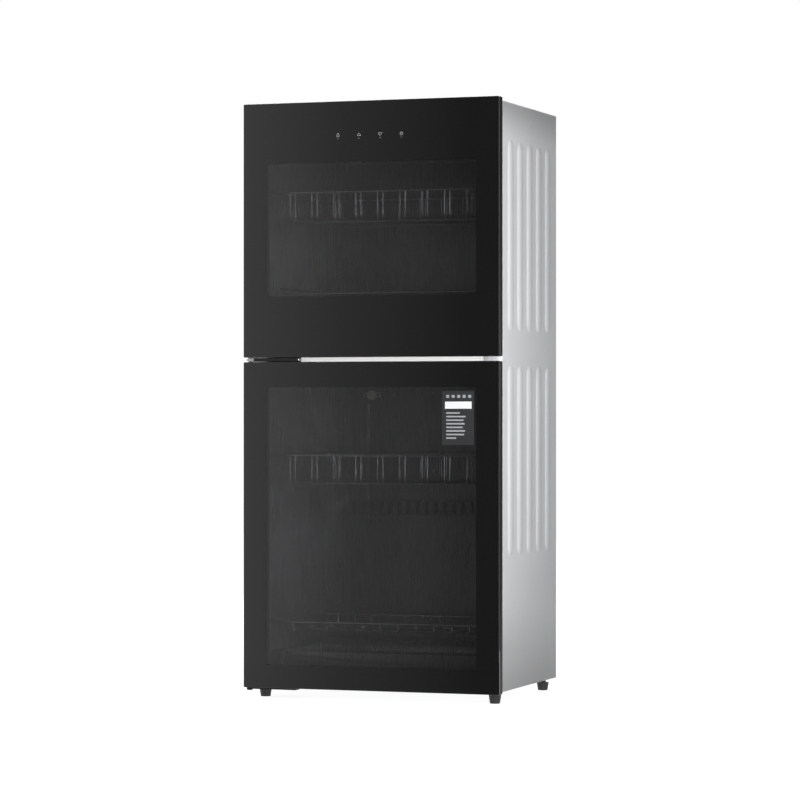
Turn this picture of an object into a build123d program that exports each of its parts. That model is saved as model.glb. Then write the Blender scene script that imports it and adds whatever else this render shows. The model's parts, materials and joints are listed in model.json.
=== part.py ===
from build123d import *
import os

# Dish sterilizer cabinet with two glass doors, one above the other.
# Frame: millimetres, +Z up, the doors face -Y, +X is the right-hand side.
# The origin is on the floor, under the middle of the cabinet's outer box.

os.makedirs("parts", exist_ok=True)

# ---------------------------------------------------------------- driving sizes
# outer envelope
WIDTH = 430.0               # over the side ribs, and the width of the doors
HEIGHT = 950.0              # floor to the top edge of the upper door
BODY_DEPTH = 296.5          # cabinet without its doors, over the rear screw heads
FOOT_HEIGHT = 20.0          # floor to the underside of the base pan
DOOR_OVERTOP = 5.0          # upper door above the top cover
SHEET = 1.0                 # every folded sheet

# doors, front to back
GLASS = 4.0
FRAME_DEPTH = 12.2
GASKET_DEPTH = 3.0
SEAL_GAP = 0.3              # gasket to cabinet face with the door shut
DOOR_DROP = 3.0             # lower door below the underside of the base pan
DOOR_SLOT = 7.2             # open slot between the two doors
DOOR_SLOT_BOTTOM = 537.5
WINDOW_SIDE = 38.0          # black border left and right of both windows
WINDOW_UP_TOP = 96.3
WINDOW_UP_BOTTOM = 97.1
WINDOW_LOW_TOP = 40.4
WINDOW_LOW_BOTTOM = 37.6
DOOR_CORNER = 2.0
GASKET_INSET = 17.0
GASKET_WIDTH = 12.0
GRIP_RADIUS = 9.0           # scooped finger grip in the back of each door's top edge
GRIP_LENGTH = 110.0
GRIP_FROM_EDGE = 24.0       # free edge of the door to the grip

# pressed side ribs
RIB_HEIGHT = 2.0
RIB_WIDTH = 30.0
RIB_PITCH = 50.0
RIB_FIRST = 45.0            # front edge of the cabinet to the first rib
RIB_LENGTH = 300.5
RIB_TOP = 63.5              # top edge of the doors to the upper ribs
RIB_GAP = 55.0              # between the lower and the upper group
PANEL_CORNER = 3.0
BACK_FLANGE = 16.0
PANEL_SCREW_R = 3.5
PANEL_SCREW_HEAD = 1.2
PANEL_SCREW_SHANK = 1.5

# chambers
SIDE_WALL = 33.0            # side rib to the inner face of a chamber
REAR_SPACE = 28.0           # liner's back wall to the rear screw heads
ROOF_SPACE = 36.0           # upper chamber to the top edge of the doors
MIDDLE_ABOVE = 42.5         # upper chamber above the lower door's top edge
MIDDLE_BELOW = 35.5         # lower chamber below the lower door's top edge
LOW_FLOOR = 48.0

# hinges
PIN_R = 2.5
PIN_CLEARANCE = 0.06
BUSH_WALL = 1.44
BUSH_SEAT = 0.02            # bush to frame
BUSH_LENGTH = 14.0
PIN_FROM_EDGE = 6.5
PIN_FROM_FRAME_BACK = 5.7
LUG_R = 5.0                 # rounded end of each hinge plate
HINGE_PLATE = 2.4
HINGE_GAP = 0.3             # hinge plate to door
BRACKET_REACH = 85.0        # hinge pin to the far end of the plate
TOP_REACH = 58.0
NOTCH_GAP = 3.0

# racks
RACK_WIRE = 2.0             # radius of the rim wire
CROSS_WIRE = 1.4            # radius of the cross wires
RACK_SIDE_GAP = 8.0         # rack rim to the chamber wall
RACK_FRONT = 28.5           # rack rim behind the cabinet face
RACK_BACK_GAP = 30.0        # rack rim to the liner's back wall
RACK_CORNER = 14.0
BOWL_UP_DROP = 104.0        # chamber roof to the upper hanging rack
BOWL_LOW_DROP = 114.0       # chamber roof to the lower hanging rack
BOWL_DROP = 43.0
BOWL_PITCH = 37.5
PAIR_SPACING = 9.0
LEG_INSET = 1.5             # the legs are welded to the inside of the rim
BASKET_LIFT = 77.0          # upper chamber floor to the basket's side rails
BASKET_STEP = 10.0          # front rail below the side rails
BASKET_CORNER = 12.0        # sloping corner between them
BASKET_PITCH = 36.7
PLATE_LIFT = 72.0           # lower chamber floor to the plate rack
PLATE_DROP = 13.0
PLATE_PITCH = 30.0
RUNNER_GAP = 0.3
RUNNER_WALL = 1.2
RUNNER_SETBACK = 8.0        # cabinet face to the front end of a runner
RUNNER_END = 34.0           # rear end of a runner to the back wall
BASKET_SETBACK = 52.0       # clear of the basket's sloping corners

# drip tray
TRAY_SIDE_GAP = 12.0
TRAY_HEIGHT = 25.0
TRAY_BACK_GAP = 3.0         # tray to the heater guard
TRAY_LIFT = 0.3
TRAY_WALL = 1.2

# feet
FOOT_INSET_X = 21.0
FOOT_FRONT = 23.5           # cabinet face to the front feet
FOOT_BACK = 17.0            # cabinet back to the rear feet
FOOT_TOP_R = 10.0
FOOT_BOTTOM_R = 8.0
CUP_HEIGHT = 13.5
STUD_R = 3.0
WASHER_R = 8.5
WASHER = 2.5

# ---------------------------------------------------------------- derived places
DOOR_STACK = GLASS + FRAME_DEPTH + GASKET_DEPTH + SEAL_GAP
DEPTH = DOOR_STACK + BODY_DEPTH
SIDE = WIDTH / 2                        # outermost face of the ribs and doors
PANEL = SIDE - RIB_HEIGHT               # flat outer face of a side panel
GLASS_FRONT = -DEPTH / 2
FRAME_FRONT = GLASS_FRONT + GLASS
FRAME_BACK = FRAME_FRONT + FRAME_DEPTH
GASKET_BACK = FRAME_BACK + GASKET_DEPTH
FACE = GASKET_BACK + SEAL_GAP           # front face of the cabinet
BACK = DEPTH / 2
LINER_BACK = BACK - REAR_SPACE          # inner face of the chambers' back wall
BASE = FOOT_HEIGHT
TOP = HEIGHT - DOOR_OVERTOP             # upper face of the top cover
LOW_DOOR = (BASE - DOOR_DROP, DOOR_SLOT_BOTTOM)
UP_DOOR = (DOOR_SLOT_BOTTOM + DOOR_SLOT, HEIGHT)
CHAMBER_HALF = SIDE - SIDE_WALL         # half of the inner width of both chambers
LINER_OUT = CHAMBER_HALF + SHEET
UP_FLOOR = DOOR_SLOT_BOTTOM + MIDDLE_ABOVE
UP_ROOF = HEIGHT - ROOF_SPACE
LOW_ROOF = DOOR_SLOT_BOTTOM - MIDDLE_BELOW
RACK_HALF = CHAMBER_HALF - RACK_SIDE_GAP
TRAY_HALF = CHAMBER_HALF - TRAY_SIDE_GAP
BOWL_RAIL_UP = UP_ROOF - BOWL_UP_DROP
BOWL_RAIL_LOW = LOW_ROOF - BOWL_LOW_DROP
BASKET_SIDE = UP_FLOOR + BASKET_LIFT
BASKET_FRONT = BASKET_SIDE - BASKET_STEP
PLATE_RAIL = LOW_FLOOR + PLATE_LIFT
RACK_STRAIGHT = 2 * (RACK_HALF - RACK_CORNER - 1.0)     # straight length of a rim's front wire
BOWL_PAIRS = 1 + int((RACK_STRAIGHT - PAIR_SPACING) // BOWL_PITCH)
PLATE_WIRES = 1 + int(RACK_STRAIGHT // PLATE_PITCH)
BASKET_WIRES = 1 + int(2 * (RACK_HALF - BASKET_CORNER - 7.0) // BASKET_PITCH)
RIB_COUNT = 1 + int((BODY_DEPTH - 2 * RIB_FIRST) // RIB_PITCH)
UP_RIBS = (HEIGHT - RIB_TOP - RIB_LENGTH, HEIGHT - RIB_TOP)
LOW_RIBS = (UP_RIBS[0] - RIB_GAP - RIB_LENGTH, UP_RIBS[0] - RIB_GAP)
PIN_X = -SIDE + PIN_FROM_EDGE
PIN_Y = FRAME_BACK - PIN_FROM_FRAME_BACK
BUSH_R = PIN_R + PIN_CLEARANCE + BUSH_WALL
REAR = BACK - PANEL_SCREW_HEAD          # rear face of the side panels
BACK_SHEET = REAR - 2 * SHEET           # inner face of the back panel


def block(x, y, z):
    """A box from its low and high value along each axis."""
    size = (x[1] - x[0], y[1] - y[0], z[1] - z[0])
    middle = ((x[0] + x[1]) / 2, (y[0] + y[1]) / 2, (z[0] + z[1]) / 2)
    return Pos(*middle) * Box(*size)


def rod(radius, start, axis, length):
    """A cylinder from a point along +X, +Y or +Z."""
    turn = {"x": Rot(0, 90, 0), "y": Rot(-90, 0, 0), "z": Rot(0, 0, 0)}[axis]
    made = Cylinder(radius, length, align=(Align.CENTER, Align.CENTER, Align.MIN))
    return Pos(*start) * turn * made


def mirror_x(shape):
    return mirror(shape, about=Plane.YZ)


def group(shapes):
    return Compound(children=list(shapes))


def rounded(x, y, z, radius):
    """A box with its four upright edges rounded."""
    made = block(x, y, z)
    return fillet(made.edges().filter_by(Axis.Z), radius)


def save(node, shape):
    export_step(shape, f"parts/{node}.step")


# ---------------------------------------------------------------- outer casing
def capsule(radius, x, y, z):
    """An upright rod with ball ends: what a pressed rib is cut from."""
    straight = rod(radius, (x, y, z[0]), "z", z[1] - z[0])
    return straight + Pos(x, y, z[0]) * Sphere(radius) + Pos(x, y, z[1]) * Sphere(radius)


def side_panel():
    """Right side panel: folded sheet with ribs that are hollow from the inside."""
    z = (BASE, TOP - SHEET)
    outer = rounded((-PANEL, PANEL), (FACE, REAR), z, PANEL_CORNER)
    inner = rounded((-PANEL + SHEET, PANEL - SHEET), (FACE + SHEET, REAR - SHEET), z, PANEL_CORNER - SHEET)
    skin = outer - inner
    skin -= block((-SIDE, LINER_OUT), (FACE - SHEET, 0), z)
    skin -= block((-SIDE, PANEL - BACK_FLANGE), (-SHEET, BACK + SHEET), z)
    bend = ((RIB_WIDTH / 2) ** 2 + RIB_HEIGHT ** 2) / (2 * RIB_HEIGHT)
    end = (bend ** 2 - (bend - RIB_HEIGHT) ** 2) ** 0.5
    space = block((PANEL, SIDE + SHEET), (FACE, REAR), z)
    hollow = block((PANEL - SHEET, SIDE + SHEET), (FACE, REAR), z)
    for low, high in (UP_RIBS, LOW_RIBS):
        for index in range(RIB_COUNT):
            y = FACE + RIB_FIRST + index * RIB_PITCH
            reach = (low + end, high - end)
            skin += capsule(bend, SIDE - bend, y, reach) & space
            skin -= capsule(bend - SHEET, SIDE - bend, y, reach) & hollow
    for hole in panel_screw_row(PANEL_SCREW_SHANK + SCREW_GAP, REAR - 4 * SHEET, 5 * SHEET):
        skin -= hole
    return skin


def panel_screw_row(radius, start, length):
    """Rods at the places of the screws through the right back flange."""
    x = PANEL - BACK_FLANGE / 2
    step = (TOP - BASE - 2 * PANEL_SCREW_INSET) / (PANEL_SCREW_ROWS - 1)
    heights = [BASE + PANEL_SCREW_INSET + row * step for row in range(PANEL_SCREW_ROWS)]
    return [rod(radius, (x, start, z), "y", length) for z in heights]


def panel_screws():
    """Pan-head screws that hold the back panel to the side panels' flanges."""
    shanks = panel_screw_row(PANEL_SCREW_SHANK, REAR - 6 * SHEET, 6 * SHEET)
    heads = panel_screw_row(PANEL_SCREW_R, REAR, PANEL_SCREW_HEAD)
    screws = []
    for shank, head in zip(shanks, heads):
        head = fillet(head.edges().sort_by(Axis.Y)[-1], PANEL_SCREW_HEAD / 2)
        screws += [shank + head, mirror_x(shank + head)]
    return group(screws)


def casing():
    right = side_panel()
    left = mirror_x(right)
    half = PANEL - SHEET

    top = rounded((-PANEL, PANEL), (FACE, REAR), (TOP - SHEET, TOP), PANEL_CORNER)
    lip = (TOP - SHEET - 12.0, TOP - SHEET)
    for side in (-1, 1):
        xs = sorted((side * half, side * (half - SHEET)))
        top += block(xs, (FACE + 30.0, BACK - 30.0), lip)

    pan_y = (FACE + SHEET, BACK_SHEET)
    pan = rounded((-half, half), pan_y, (BASE, BASE + SHEET), PANEL_CORNER - SHEET)
    for side in (-1, 1):
        xs = sorted((side * half, side * (half - SHEET)))
        pan += block(xs, (FACE + 30.0, BACK - 30.0), (BASE, BASE + 12.0))

    # back panel: lies on the side panels' back flanges from inside
    reach = half - 2.0
    back = block((-reach, reach), (BACK_SHEET, BACK_SHEET + SHEET), (BASE + SHEET, TOP - SHEET))
    for zs in (VENT_UP, VENT_LOW):
        for row in range(VENT_ROWS):
            for column in range(VENT_COLUMNS):
                x = (column - (VENT_COLUMNS - 1) / 2) * VENT_PITCH_X
                slot = SlotOverall(VENT_LENGTH, VENT_WIDTH)
                cut = extrude(Plane.XZ * slot, SHEET * 3, both=True)
                back -= Pos(x, BACK_SHEET, zs + row * VENT_PITCH_Z) * cut
    back -= rod(GLAND_R + GLAND_SEAT, (GLAND_X, BACK_SHEET - SHEET, GLAND_Z), "y", SHEET * 3)
    for hole in panel_screw_row(PANEL_SCREW_SHANK + SCREW_GAP, REAR - 4 * SHEET, 5 * SHEET):
        back -= hole
        back -= mirror_x(hole)
    return left, right, top, pan, back


RAIL_LIP = 18.0             # folded-back lips of the front rails
WOOL_BACK = 18.0            # wool behind the lower chamber
VENT_UP, VENT_LOW = UP_FLOOR + 20.0, LOW_FLOOR + 62.0
VENT_ROWS, VENT_COLUMNS = 7, 5
VENT_PITCH_X, VENT_PITCH_Z = 52.0, 12.0
VENT_LENGTH, VENT_WIDTH = 40.0, 5.0
GLAND_X, GLAND_Z = 65.0 - SIDE, BASE + 40.0
GLAND_R = 9.0
GLAND_SEAT = 0.02
PANEL_SCREW_ROWS = 4
PANEL_SCREW_INSET = 60.0


def front_rails():
    """Folded rails between the chambers: top, middle and bottom."""
    span = (-LINER_OUT, LINER_OUT)
    face = (FACE, FACE + SHEET)
    lips = (FACE, FACE + RAIL_LIP)
    top = block(span, face, (UP_ROOF + SHEET, TOP - SHEET))
    top += block(span, lips, (TOP - 2 * SHEET, TOP - SHEET))
    middle = block(span, face, (LOW_ROOF + SHEET, UP_FLOOR - SHEET))
    middle += block(span, lips, (LOW_ROOF + SHEET, LOW_ROOF + 2 * SHEET))
    middle += block(span, lips, (UP_FLOOR - 2 * SHEET, UP_FLOOR - SHEET))
    bottom = block(span, face, (BASE, LOW_FLOOR - SHEET))
    bottom += block(span, lips, (LOW_FLOOR - 2 * SHEET, LOW_FLOOR - SHEET))
    return top, middle, bottom


# ---------------------------------------------------------------- chambers
def liner(floor, roof):
    """A liner is a bent sheet tube and a separate back plate."""
    ys = (FACE, LINER_BACK)
    outer = block((-LINER_OUT, LINER_OUT), ys, (floor - SHEET, roof + SHEET))
    wrap = outer - block((-CHAMBER_HALF, CHAMBER_HALF), (ys[0] - 1, ys[1] + 1), (floor, roof))
    plate = block((-LINER_OUT, LINER_OUT), (LINER_BACK, LINER_BACK + SHEET), (floor - SHEET, roof + SHEET))
    return wrap, plate


def insulation(switches):
    """Slabs of mineral wool between the liners and the side panels."""
    ys = (FACE + PANEL_CORNER, LINER_BACK)
    split = (LOW_ROOF + UP_FLOOR) / 2
    slabs = {}
    for name, zs in (("upper", (split, TOP - 13.0)), ("lower", (BASE + 12.0, split))):
        right = block((LINER_OUT, PANEL - SHEET), ys, zs)
        slabs[name] = [right, mirror_x(right)]
        for switch in switches:
            slabs[name][0] -= switch
    roof = (UP_ROOF + SHEET, TOP - 13.0)
    slabs["upper"].append(block((-LINER_OUT, LINER_OUT), (FACE + RAIL_LIP, LINER_BACK), roof))
    back_y = (LINER_BACK + SHEET, LINER_BACK + WOOL_BACK)
    slabs["lower"].append(block((-LINER_OUT, LINER_OUT), back_y, (LOW_FLOOR, LOW_ROOF)))
    return group(slabs["upper"]), group(slabs["lower"])


# ---------------------------------------------------------------- doors
def door(zs, window):
    """Glass, frame ring, gasket ring, bushes and magnet of one door."""
    glass = block((-SIDE, SIDE), (GLASS_FRONT, FRAME_FRONT), zs)
    glass = fillet(glass.edges().filter_by(Axis.Y), DOOR_CORNER)
    frame = block((-SIDE, SIDE), (FRAME_FRONT, FRAME_BACK), zs)
    frame = fillet(frame.edges().filter_by(Axis.Y), DOOR_CORNER)
    frame -= block((-SIDE + WINDOW_SIDE, SIDE - WINDOW_SIDE), (FRAME_FRONT - 1, FRAME_BACK + 1), window)
    middle = (zs[0] + zs[1]) / 2
    grip_start = SIDE - GRIP_FROM_EDGE - GRIP_LENGTH
    frame -= rod(GRIP_RADIUS, (grip_start, FRAME_BACK, zs[1]), "x", GRIP_LENGTH)

    outer = SIDE - GASKET_INSET
    rim = (zs[0] + GASKET_INSET, zs[1] - GASKET_INSET)
    gasket = block((-outer, outer), (FRAME_BACK, GASKET_BACK), rim)
    inner = outer - GASKET_WIDTH
    hole = (rim[0] + GASKET_WIDTH, rim[1] - GASKET_WIDTH)
    gasket -= block((-inner, inner), (FRAME_BACK - 1, GASKET_BACK + 1), hole)

    magnet_z = (middle - MAGNET / 2, middle + MAGNET / 2)
    magnet_x = (inner - 14.0, inner - 4.0)
    magnet = block(magnet_x, (FRAME_BACK - 4.0, FRAME_BACK), magnet_z)
    frame -= magnet
    return glass, frame, gasket, magnet


MAGNET = 30.0


def bush_pair(bottom, top):
    """Two hinge bushes: their seats in the frame and the bushes themselves."""
    starts = (bottom, top - BUSH_LENGTH)
    seats = [rod(BUSH_R + BUSH_SEAT, (PIN_X, PIN_Y, z), "z", BUSH_LENGTH) for z in starts]
    bushes = []
    for z in starts:
        bore = rod(PIN_R + PIN_CLEARANCE, (PIN_X, PIN_Y, z - 1), "z", BUSH_LENGTH + 2)
        bushes.append(rod(BUSH_R, (PIN_X, PIN_Y, z), "z", BUSH_LENGTH) - bore)
    return seats, bushes


def doors():
    up_window = (UP_DOOR[0] + WINDOW_UP_BOTTOM, UP_DOOR[1] - WINDOW_UP_TOP)
    low_window = (LOW_DOOR[0] + WINDOW_LOW_BOTTOM, LOW_DOOR[1] - WINDOW_LOW_TOP)
    up_glass, up_frame, up_gasket, up_magnet = door(UP_DOOR, up_window)
    low_glass, low_frame, low_gasket, low_magnet = door(LOW_DOOR, low_window)

    # the upper frame is cut back above the top cover for the top hinge plate
    notch = (TOP - HINGE_GAP, HEIGHT + 1)
    up_frame -= block((-SIDE - 1, PIN_X + TOP_REACH + NOTCH_GAP), (FRAME_FRONT, FRAME_BACK + 1), notch)
    seats, up_bushes = bush_pair(UP_DOOR[0], notch[0])
    for seat in seats:
        up_frame -= seat
    seats, low_bushes = bush_pair(*LOW_DOOR)
    for seat in seats:
        low_frame -= seat

    # touch board: lies against the back of the upper glass in a pocket
    board_z = UP_DOOR[1] - BOARD_DROP
    pocket = (board_z - BOARD_HEIGHT / 2, board_z + BOARD_HEIGHT / 2)
    half = BOARD_LENGTH / 2
    up_frame -= block((-half, half), (FRAME_FRONT, FRAME_FRONT + BOARD_POCKET), pocket)
    board = block((-half, half), (FRAME_FRONT, FRAME_FRONT + BOARD), pocket)
    for index in range(4):
        x = (index - 1.5) * TOUCH_PITCH
        pad_z = (board_z - TOUCH_PAD / 2, board_z + TOUCH_PAD / 2)
        back = FRAME_FRONT + BOARD
        board += block((x - TOUCH_PAD / 2, x + TOUCH_PAD / 2), (back, back + 2.0), pad_z)
    return {
        "door_glass_upper": up_glass,
        "door_frame_upper": up_frame,
        "door_gasket_upper": up_gasket,
        "door_magnet_upper": up_magnet,
        "hinge_bushes_upper": group(up_bushes),
        "touch_board": board,
        "door_glass_lower": low_glass,
        "door_frame_lower": low_frame,
        "door_gasket_lower": low_gasket,
        "door_magnet_lower": low_magnet,
        "hinge_bushes_lower": group(low_bushes),
    }


BOARD = 1.6
BOARD_POCKET = 5.0
BOARD_LENGTH = 170.0
BOARD_HEIGHT = 34.0
BOARD_DROP = 53.8           # top edge of the upper door to the touch symbols
TOUCH_PITCH = 35.6
TOUCH_PAD = 12.0


# ---------------------------------------------------------------- hinges
def hinge_plate(z, reach, back):
    """Flat plate with a rounded lug about the hinge pin."""
    thick = z[1] - z[0]
    lug = rod(LUG_R, (PIN_X, PIN_Y, z[0]), "z", thick)
    return lug + block((PIN_X, PIN_X + reach), (PIN_Y - LUG_R, back), z)


def screw_set(places, z, up):
    """Pan-head screws along Z: shank holes to cut and the screws."""
    holes, screws = [], []
    for x, y in places:
        start = z - SCREW_LENGTH if up else z
        shank = rod(SCREW_R, (x, y, start), "z", SCREW_LENGTH)
        head = rod(SCREW_HEAD_R, (x, y, z if up else z - SCREW_HEAD), "z", SCREW_HEAD)
        head = fillet(head.edges().sort_by(Axis.Z)[-1 if up else 0], SCREW_HEAD / 2)
        holes.append(rod(SCREW_R + SCREW_GAP, (x, y, start - 1), "z", SCREW_LENGTH + 2))
        screws.append(shank + head)
    return holes, screws


SCREW_R, SCREW_HEAD_R, SCREW_HEAD, SCREW_LENGTH = 2.0, 4.0, 2.0, 7.0
SCREW_GAP = 0.1
HINGE_SCREW_STEP = 22.0
MIDDLE_FLANGE = 24.0
COVER_WALL = 1.4


def hinges(top_cover, pan):
    # top hinge: plate on the cover, pin down into the upper door
    plate_z = (TOP, TOP + HINGE_PLATE)
    top = hinge_plate(plate_z, TOP_REACH, FACE + 34.0)
    pin_length = BUSH_LENGTH - 2.0 + HINGE_GAP
    top += rod(PIN_R, (PIN_X, PIN_Y, TOP - pin_length), "z", pin_length + HINGE_PLATE)
    row = [(PIN_X + 18.0 + step * HINGE_SCREW_STEP, FACE + 20.0) for step in range(2)]
    holes, top_screws = screw_set(row, plate_z[1], True)
    for hole in holes:
        top -= hole
        top_cover -= hole

    # middle hinge: plate in the slot, pins up and down, flange on the cabinet face
    slot = DOOR_SLOT_BOTTOM + DOOR_SLOT / 2
    plate_z = (slot - HINGE_PLATE / 2, slot + HINGE_PLATE / 2)
    middle = hinge_plate(plate_z, BRACKET_REACH, FACE)
    reach = DOOR_SLOT / 2 + BUSH_LENGTH - 2.0
    middle += rod(PIN_R, (PIN_X, PIN_Y, slot - reach), "z", 2 * reach)
    flange_x = (PIN_X + BRACKET_REACH - 58.0, PIN_X + BRACKET_REACH)
    flange_z = (slot - MIDDLE_FLANGE / 2, slot + MIDDLE_FLANGE / 2)
    middle += block(flange_x, (FACE - 2.4, FACE), flange_z)

    # black cover in front of the middle plate
    cover_x = (PIN_X + 9.5, PIN_X + BRACKET_REACH)
    cover_z = (plate_z[0] - COVER_WALL, plate_z[1] + COVER_WALL)
    cover = block(cover_x, (GLASS_FRONT + 2.0, FRAME_BACK), cover_z)
    cover = fillet(cover.edges().filter_by(Axis.Z).sort_by(Axis.Y)[:2], 1.5)
    cover -= block((cover_x[0] - 1, cover_x[1] + 1), (PIN_Y - LUG_R, FRAME_BACK + 1), plate_z)

    # bottom hinge: stepped plate under the base pan, pin up into the lower door
    low_z = (LOW_DOOR[0] - HINGE_GAP - HINGE_PLATE, LOW_DOOR[0] - HINGE_GAP)
    bottom = hinge_plate(low_z, BRACKET_REACH - 4.0, FACE)
    step_x = (PIN_X + 30.0, PIN_X + BRACKET_REACH - 4.0)
    bottom += block(step_x, (FACE, FACE + HINGE_PLATE), (low_z[0], BASE))
    bottom += block(step_x, (FACE, FACE + 34.0), (BASE - HINGE_PLATE, BASE))
    bottom += rod(PIN_R, (PIN_X, PIN_Y, low_z[0]), "z", BUSH_LENGTH - 2.0 + HINGE_PLATE)
    bottom += rod(LUG_R - 0.5, (PIN_X, PIN_Y, low_z[0] - 2.0), "z", 2.0)
    row = [(PIN_X + 42.0 + step * HINGE_SCREW_STEP, FACE + 20.0) for step in range(2)]
    holes, bottom_screws = screw_set(row, BASE - HINGE_PLATE, False)
    for hole in holes:
        bottom -= hole
        pan -= hole
    return top, middle, bottom, cover, group(top_screws + bottom_screws), top_cover, pan


# ---------------------------------------------------------------- feet
def feet(pan):
    cups, studs = {}, []
    for side, x in (("left", -SIDE + FOOT_INSET_X), ("right", SIDE - FOOT_INSET_X)):
        for end, y in (("front", FACE + FOOT_FRONT), ("back", BACK - FOOT_BACK)):
            cone = Cone(FOOT_BOTTOM_R, FOOT_TOP_R, CUP_HEIGHT, align=(Align.CENTER, Align.CENTER, Align.MIN))
            cone = fillet(cone.edges().sort_by(Axis.Z)[0], 1.0)
            cup = Pos(x, y, 0) * cone
            cup -= rod(STUD_R + 0.02, (x, y, CUP_HEIGHT - 5.0), "z", 6.0)
            cups[f"foot_{end}_{side}"] = cup
            stud = rod(STUD_R, (x, y, CUP_HEIGHT - 5.0), "z", BASE - CUP_HEIGHT + 5.0 + 6.0)
            stud += rod(WASHER_R, (x, y, BASE - WASHER), "z", WASHER)
            nut = extrude(RegularPolygon(5.0, 6), 4.0)
            stud += Pos(x, y, BASE + SHEET) * nut
            stud += rod(5.0, (x, y, CUP_HEIGHT), "z", BASE - WASHER - CUP_HEIGHT)
            studs.append(stud)
            pan -= rod(STUD_R + 0.02, (x, y, BASE - 1), "z", SHEET + 2)
    return cups, group(studs), pan


# ---------------------------------------------------------------- racks
def wire(points, radius, bend, closed=False):
    """A round wire along a path of straight runs and round bends."""
    path = FilletPolyline(*points, radius=bend, close=closed)
    ring = Plane(origin=path @ 0, z_dir=path % 0) * Circle(radius)
    return sweep(ring, path=path)


def straight(radius, start, end):
    axis = "x" if start[0] != end[0] else "y"
    return rod(radius, start, axis, abs(end[0] - start[0]) + abs(end[1] - start[1]))


RIM_FRONT = FACE + RACK_FRONT
RIM_BACK = LINER_BACK - RACK_BACK_GAP


def rim(z):
    """The rack's rectangular rim: one bent wire with round corners."""
    corners = [(-RACK_HALF, RIM_FRONT), (RACK_HALF, RIM_FRONT), (RACK_HALF, RIM_BACK), (-RACK_HALF, RIM_BACK)]
    return wire([(x, y, z) for x, y in corners], RACK_WIRE, RACK_CORNER, closed=True)


def weld_rods(z, inset):
    """Two rods across the rack that the cross wires are welded to."""
    made = []
    for y in (RIM_FRONT + inset, RIM_BACK - inset):
        half = RACK_HALF - RACK_CORNER
        made.append(straight(CROSS_WIRE, (-half, y, z), (half, y, z)))
    return made


def bowl_rack(rail):
    """Hanging rack: U wires in pairs, dropped from the rim."""
    made = [rim(rail)]
    low = rail - BOWL_DROP
    legs = (RIM_FRONT + LEG_INSET, RIM_BACK - LEG_INSET)
    tip = rail + 0.5
    for pair in range(BOWL_PAIRS):
        for half in (-0.5, 0.5):
            x = (pair - (BOWL_PAIRS - 1) / 2) * BOWL_PITCH + half * PAIR_SPACING
            points = [(x, legs[0], tip), (x, legs[0], low), (x, legs[1], low), (x, legs[1], tip)]
            made.append(wire(points, CROSS_WIRE, 8.0))
    made += weld_rods(low - 2 * CROSS_WIRE + 0.4, 45.0)
    return made[0].fuse(*made[1:])


def basket():
    """Flat basket: side rails that step down to a lower front rail."""
    front = RACK_HALF - BASKET_CORNER
    points = [(-front, RIM_FRONT, BASKET_FRONT), (front, RIM_FRONT, BASKET_FRONT),
              (RACK_HALF, RIM_FRONT + BASKET_CORNER, BASKET_SIDE), (RACK_HALF, RIM_BACK, BASKET_SIDE),
              (-RACK_HALF, RIM_BACK, BASKET_SIDE), (-RACK_HALF, RIM_FRONT + BASKET_CORNER, BASKET_SIDE)]
    made = [wire(points, RACK_WIRE, 6.0, closed=True)]
    low = BASKET_FRONT - RACK_WIRE - CROSS_WIRE + 0.4
    leg = RIM_BACK - RACK_WIRE
    for index in range(BASKET_WIRES):
        x = (index - (BASKET_WIRES - 1) / 2) * BASKET_PITCH
        points = [(x, RIM_FRONT - 1.0, low - 4.0), (x, RIM_FRONT - 1.0, low),
                  (x, leg, low), (x, leg, low + BASKET_STEP + RACK_WIRE + 1.0)]
        made.append(wire(points, CROSS_WIRE, 2.0))
    made += weld_rods(low - 2 * CROSS_WIRE + 0.4, 60.0)
    return made[0].fuse(*made[1:])


def plate_rack():
    """Plate rack: closely spaced cross wires hooked under the rim."""
    made = [rim(PLATE_RAIL)]
    low = PLATE_RAIL - PLATE_DROP
    legs = (RIM_FRONT + RACK_WIRE, RIM_BACK - RACK_WIRE)
    for index in range(PLATE_WIRES):
        x = (index - (PLATE_WIRES - 1) / 2) * PLATE_PITCH
        points = [(x, legs[0], PLATE_RAIL), (x, legs[0], low), (x, legs[1], low), (x, legs[1], PLATE_RAIL)]
        made.append(wire(points, CROSS_WIRE, 5.0))
    made += weld_rods(low - 2 * CROSS_WIRE + 0.4, 60.0)
    return made[0].fuse(*made[1:])


def runners(levels):
    """C-shaped runners on the liner walls, round the racks' side wires."""
    made = []
    reach = RACK_WIRE + RUNNER_GAP
    for z, setback in levels:
        ys = (FACE + setback, LINER_BACK - RUNNER_END)
        zs = (z - reach - RUNNER_WALL, z + reach + RUNNER_WALL)
        right = block((RACK_HALF - RACK_WIRE, CHAMBER_HALF), ys, zs)
        right -= block((0, CHAMBER_HALF - RUNNER_WALL), (ys[0] - 1, ys[1] + 1), (z - reach, z + reach))
        made += [right, mirror_x(right)]
    return group(made)


def drip_tray():
    """Shallow open tray with a rolled front edge."""
    ys = (RIM_FRONT - 2.0, TUBE_Y[0] - GUARD_GAP - TRAY_BACK_GAP)
    zs = (LOW_FLOOR + TRAY_LIFT, LOW_FLOOR + TRAY_LIFT + TRAY_HEIGHT)
    tray = rounded((-TRAY_HALF, TRAY_HALF), ys, zs, 6.0)
    inner_y = (ys[0] + TRAY_WALL, ys[1] - TRAY_WALL)
    tray -= rounded((-TRAY_HALF + TRAY_WALL, TRAY_HALF - TRAY_WALL), inner_y, (zs[0] + TRAY_WALL, zs[1] + 1), 4.8)
    return tray


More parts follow.
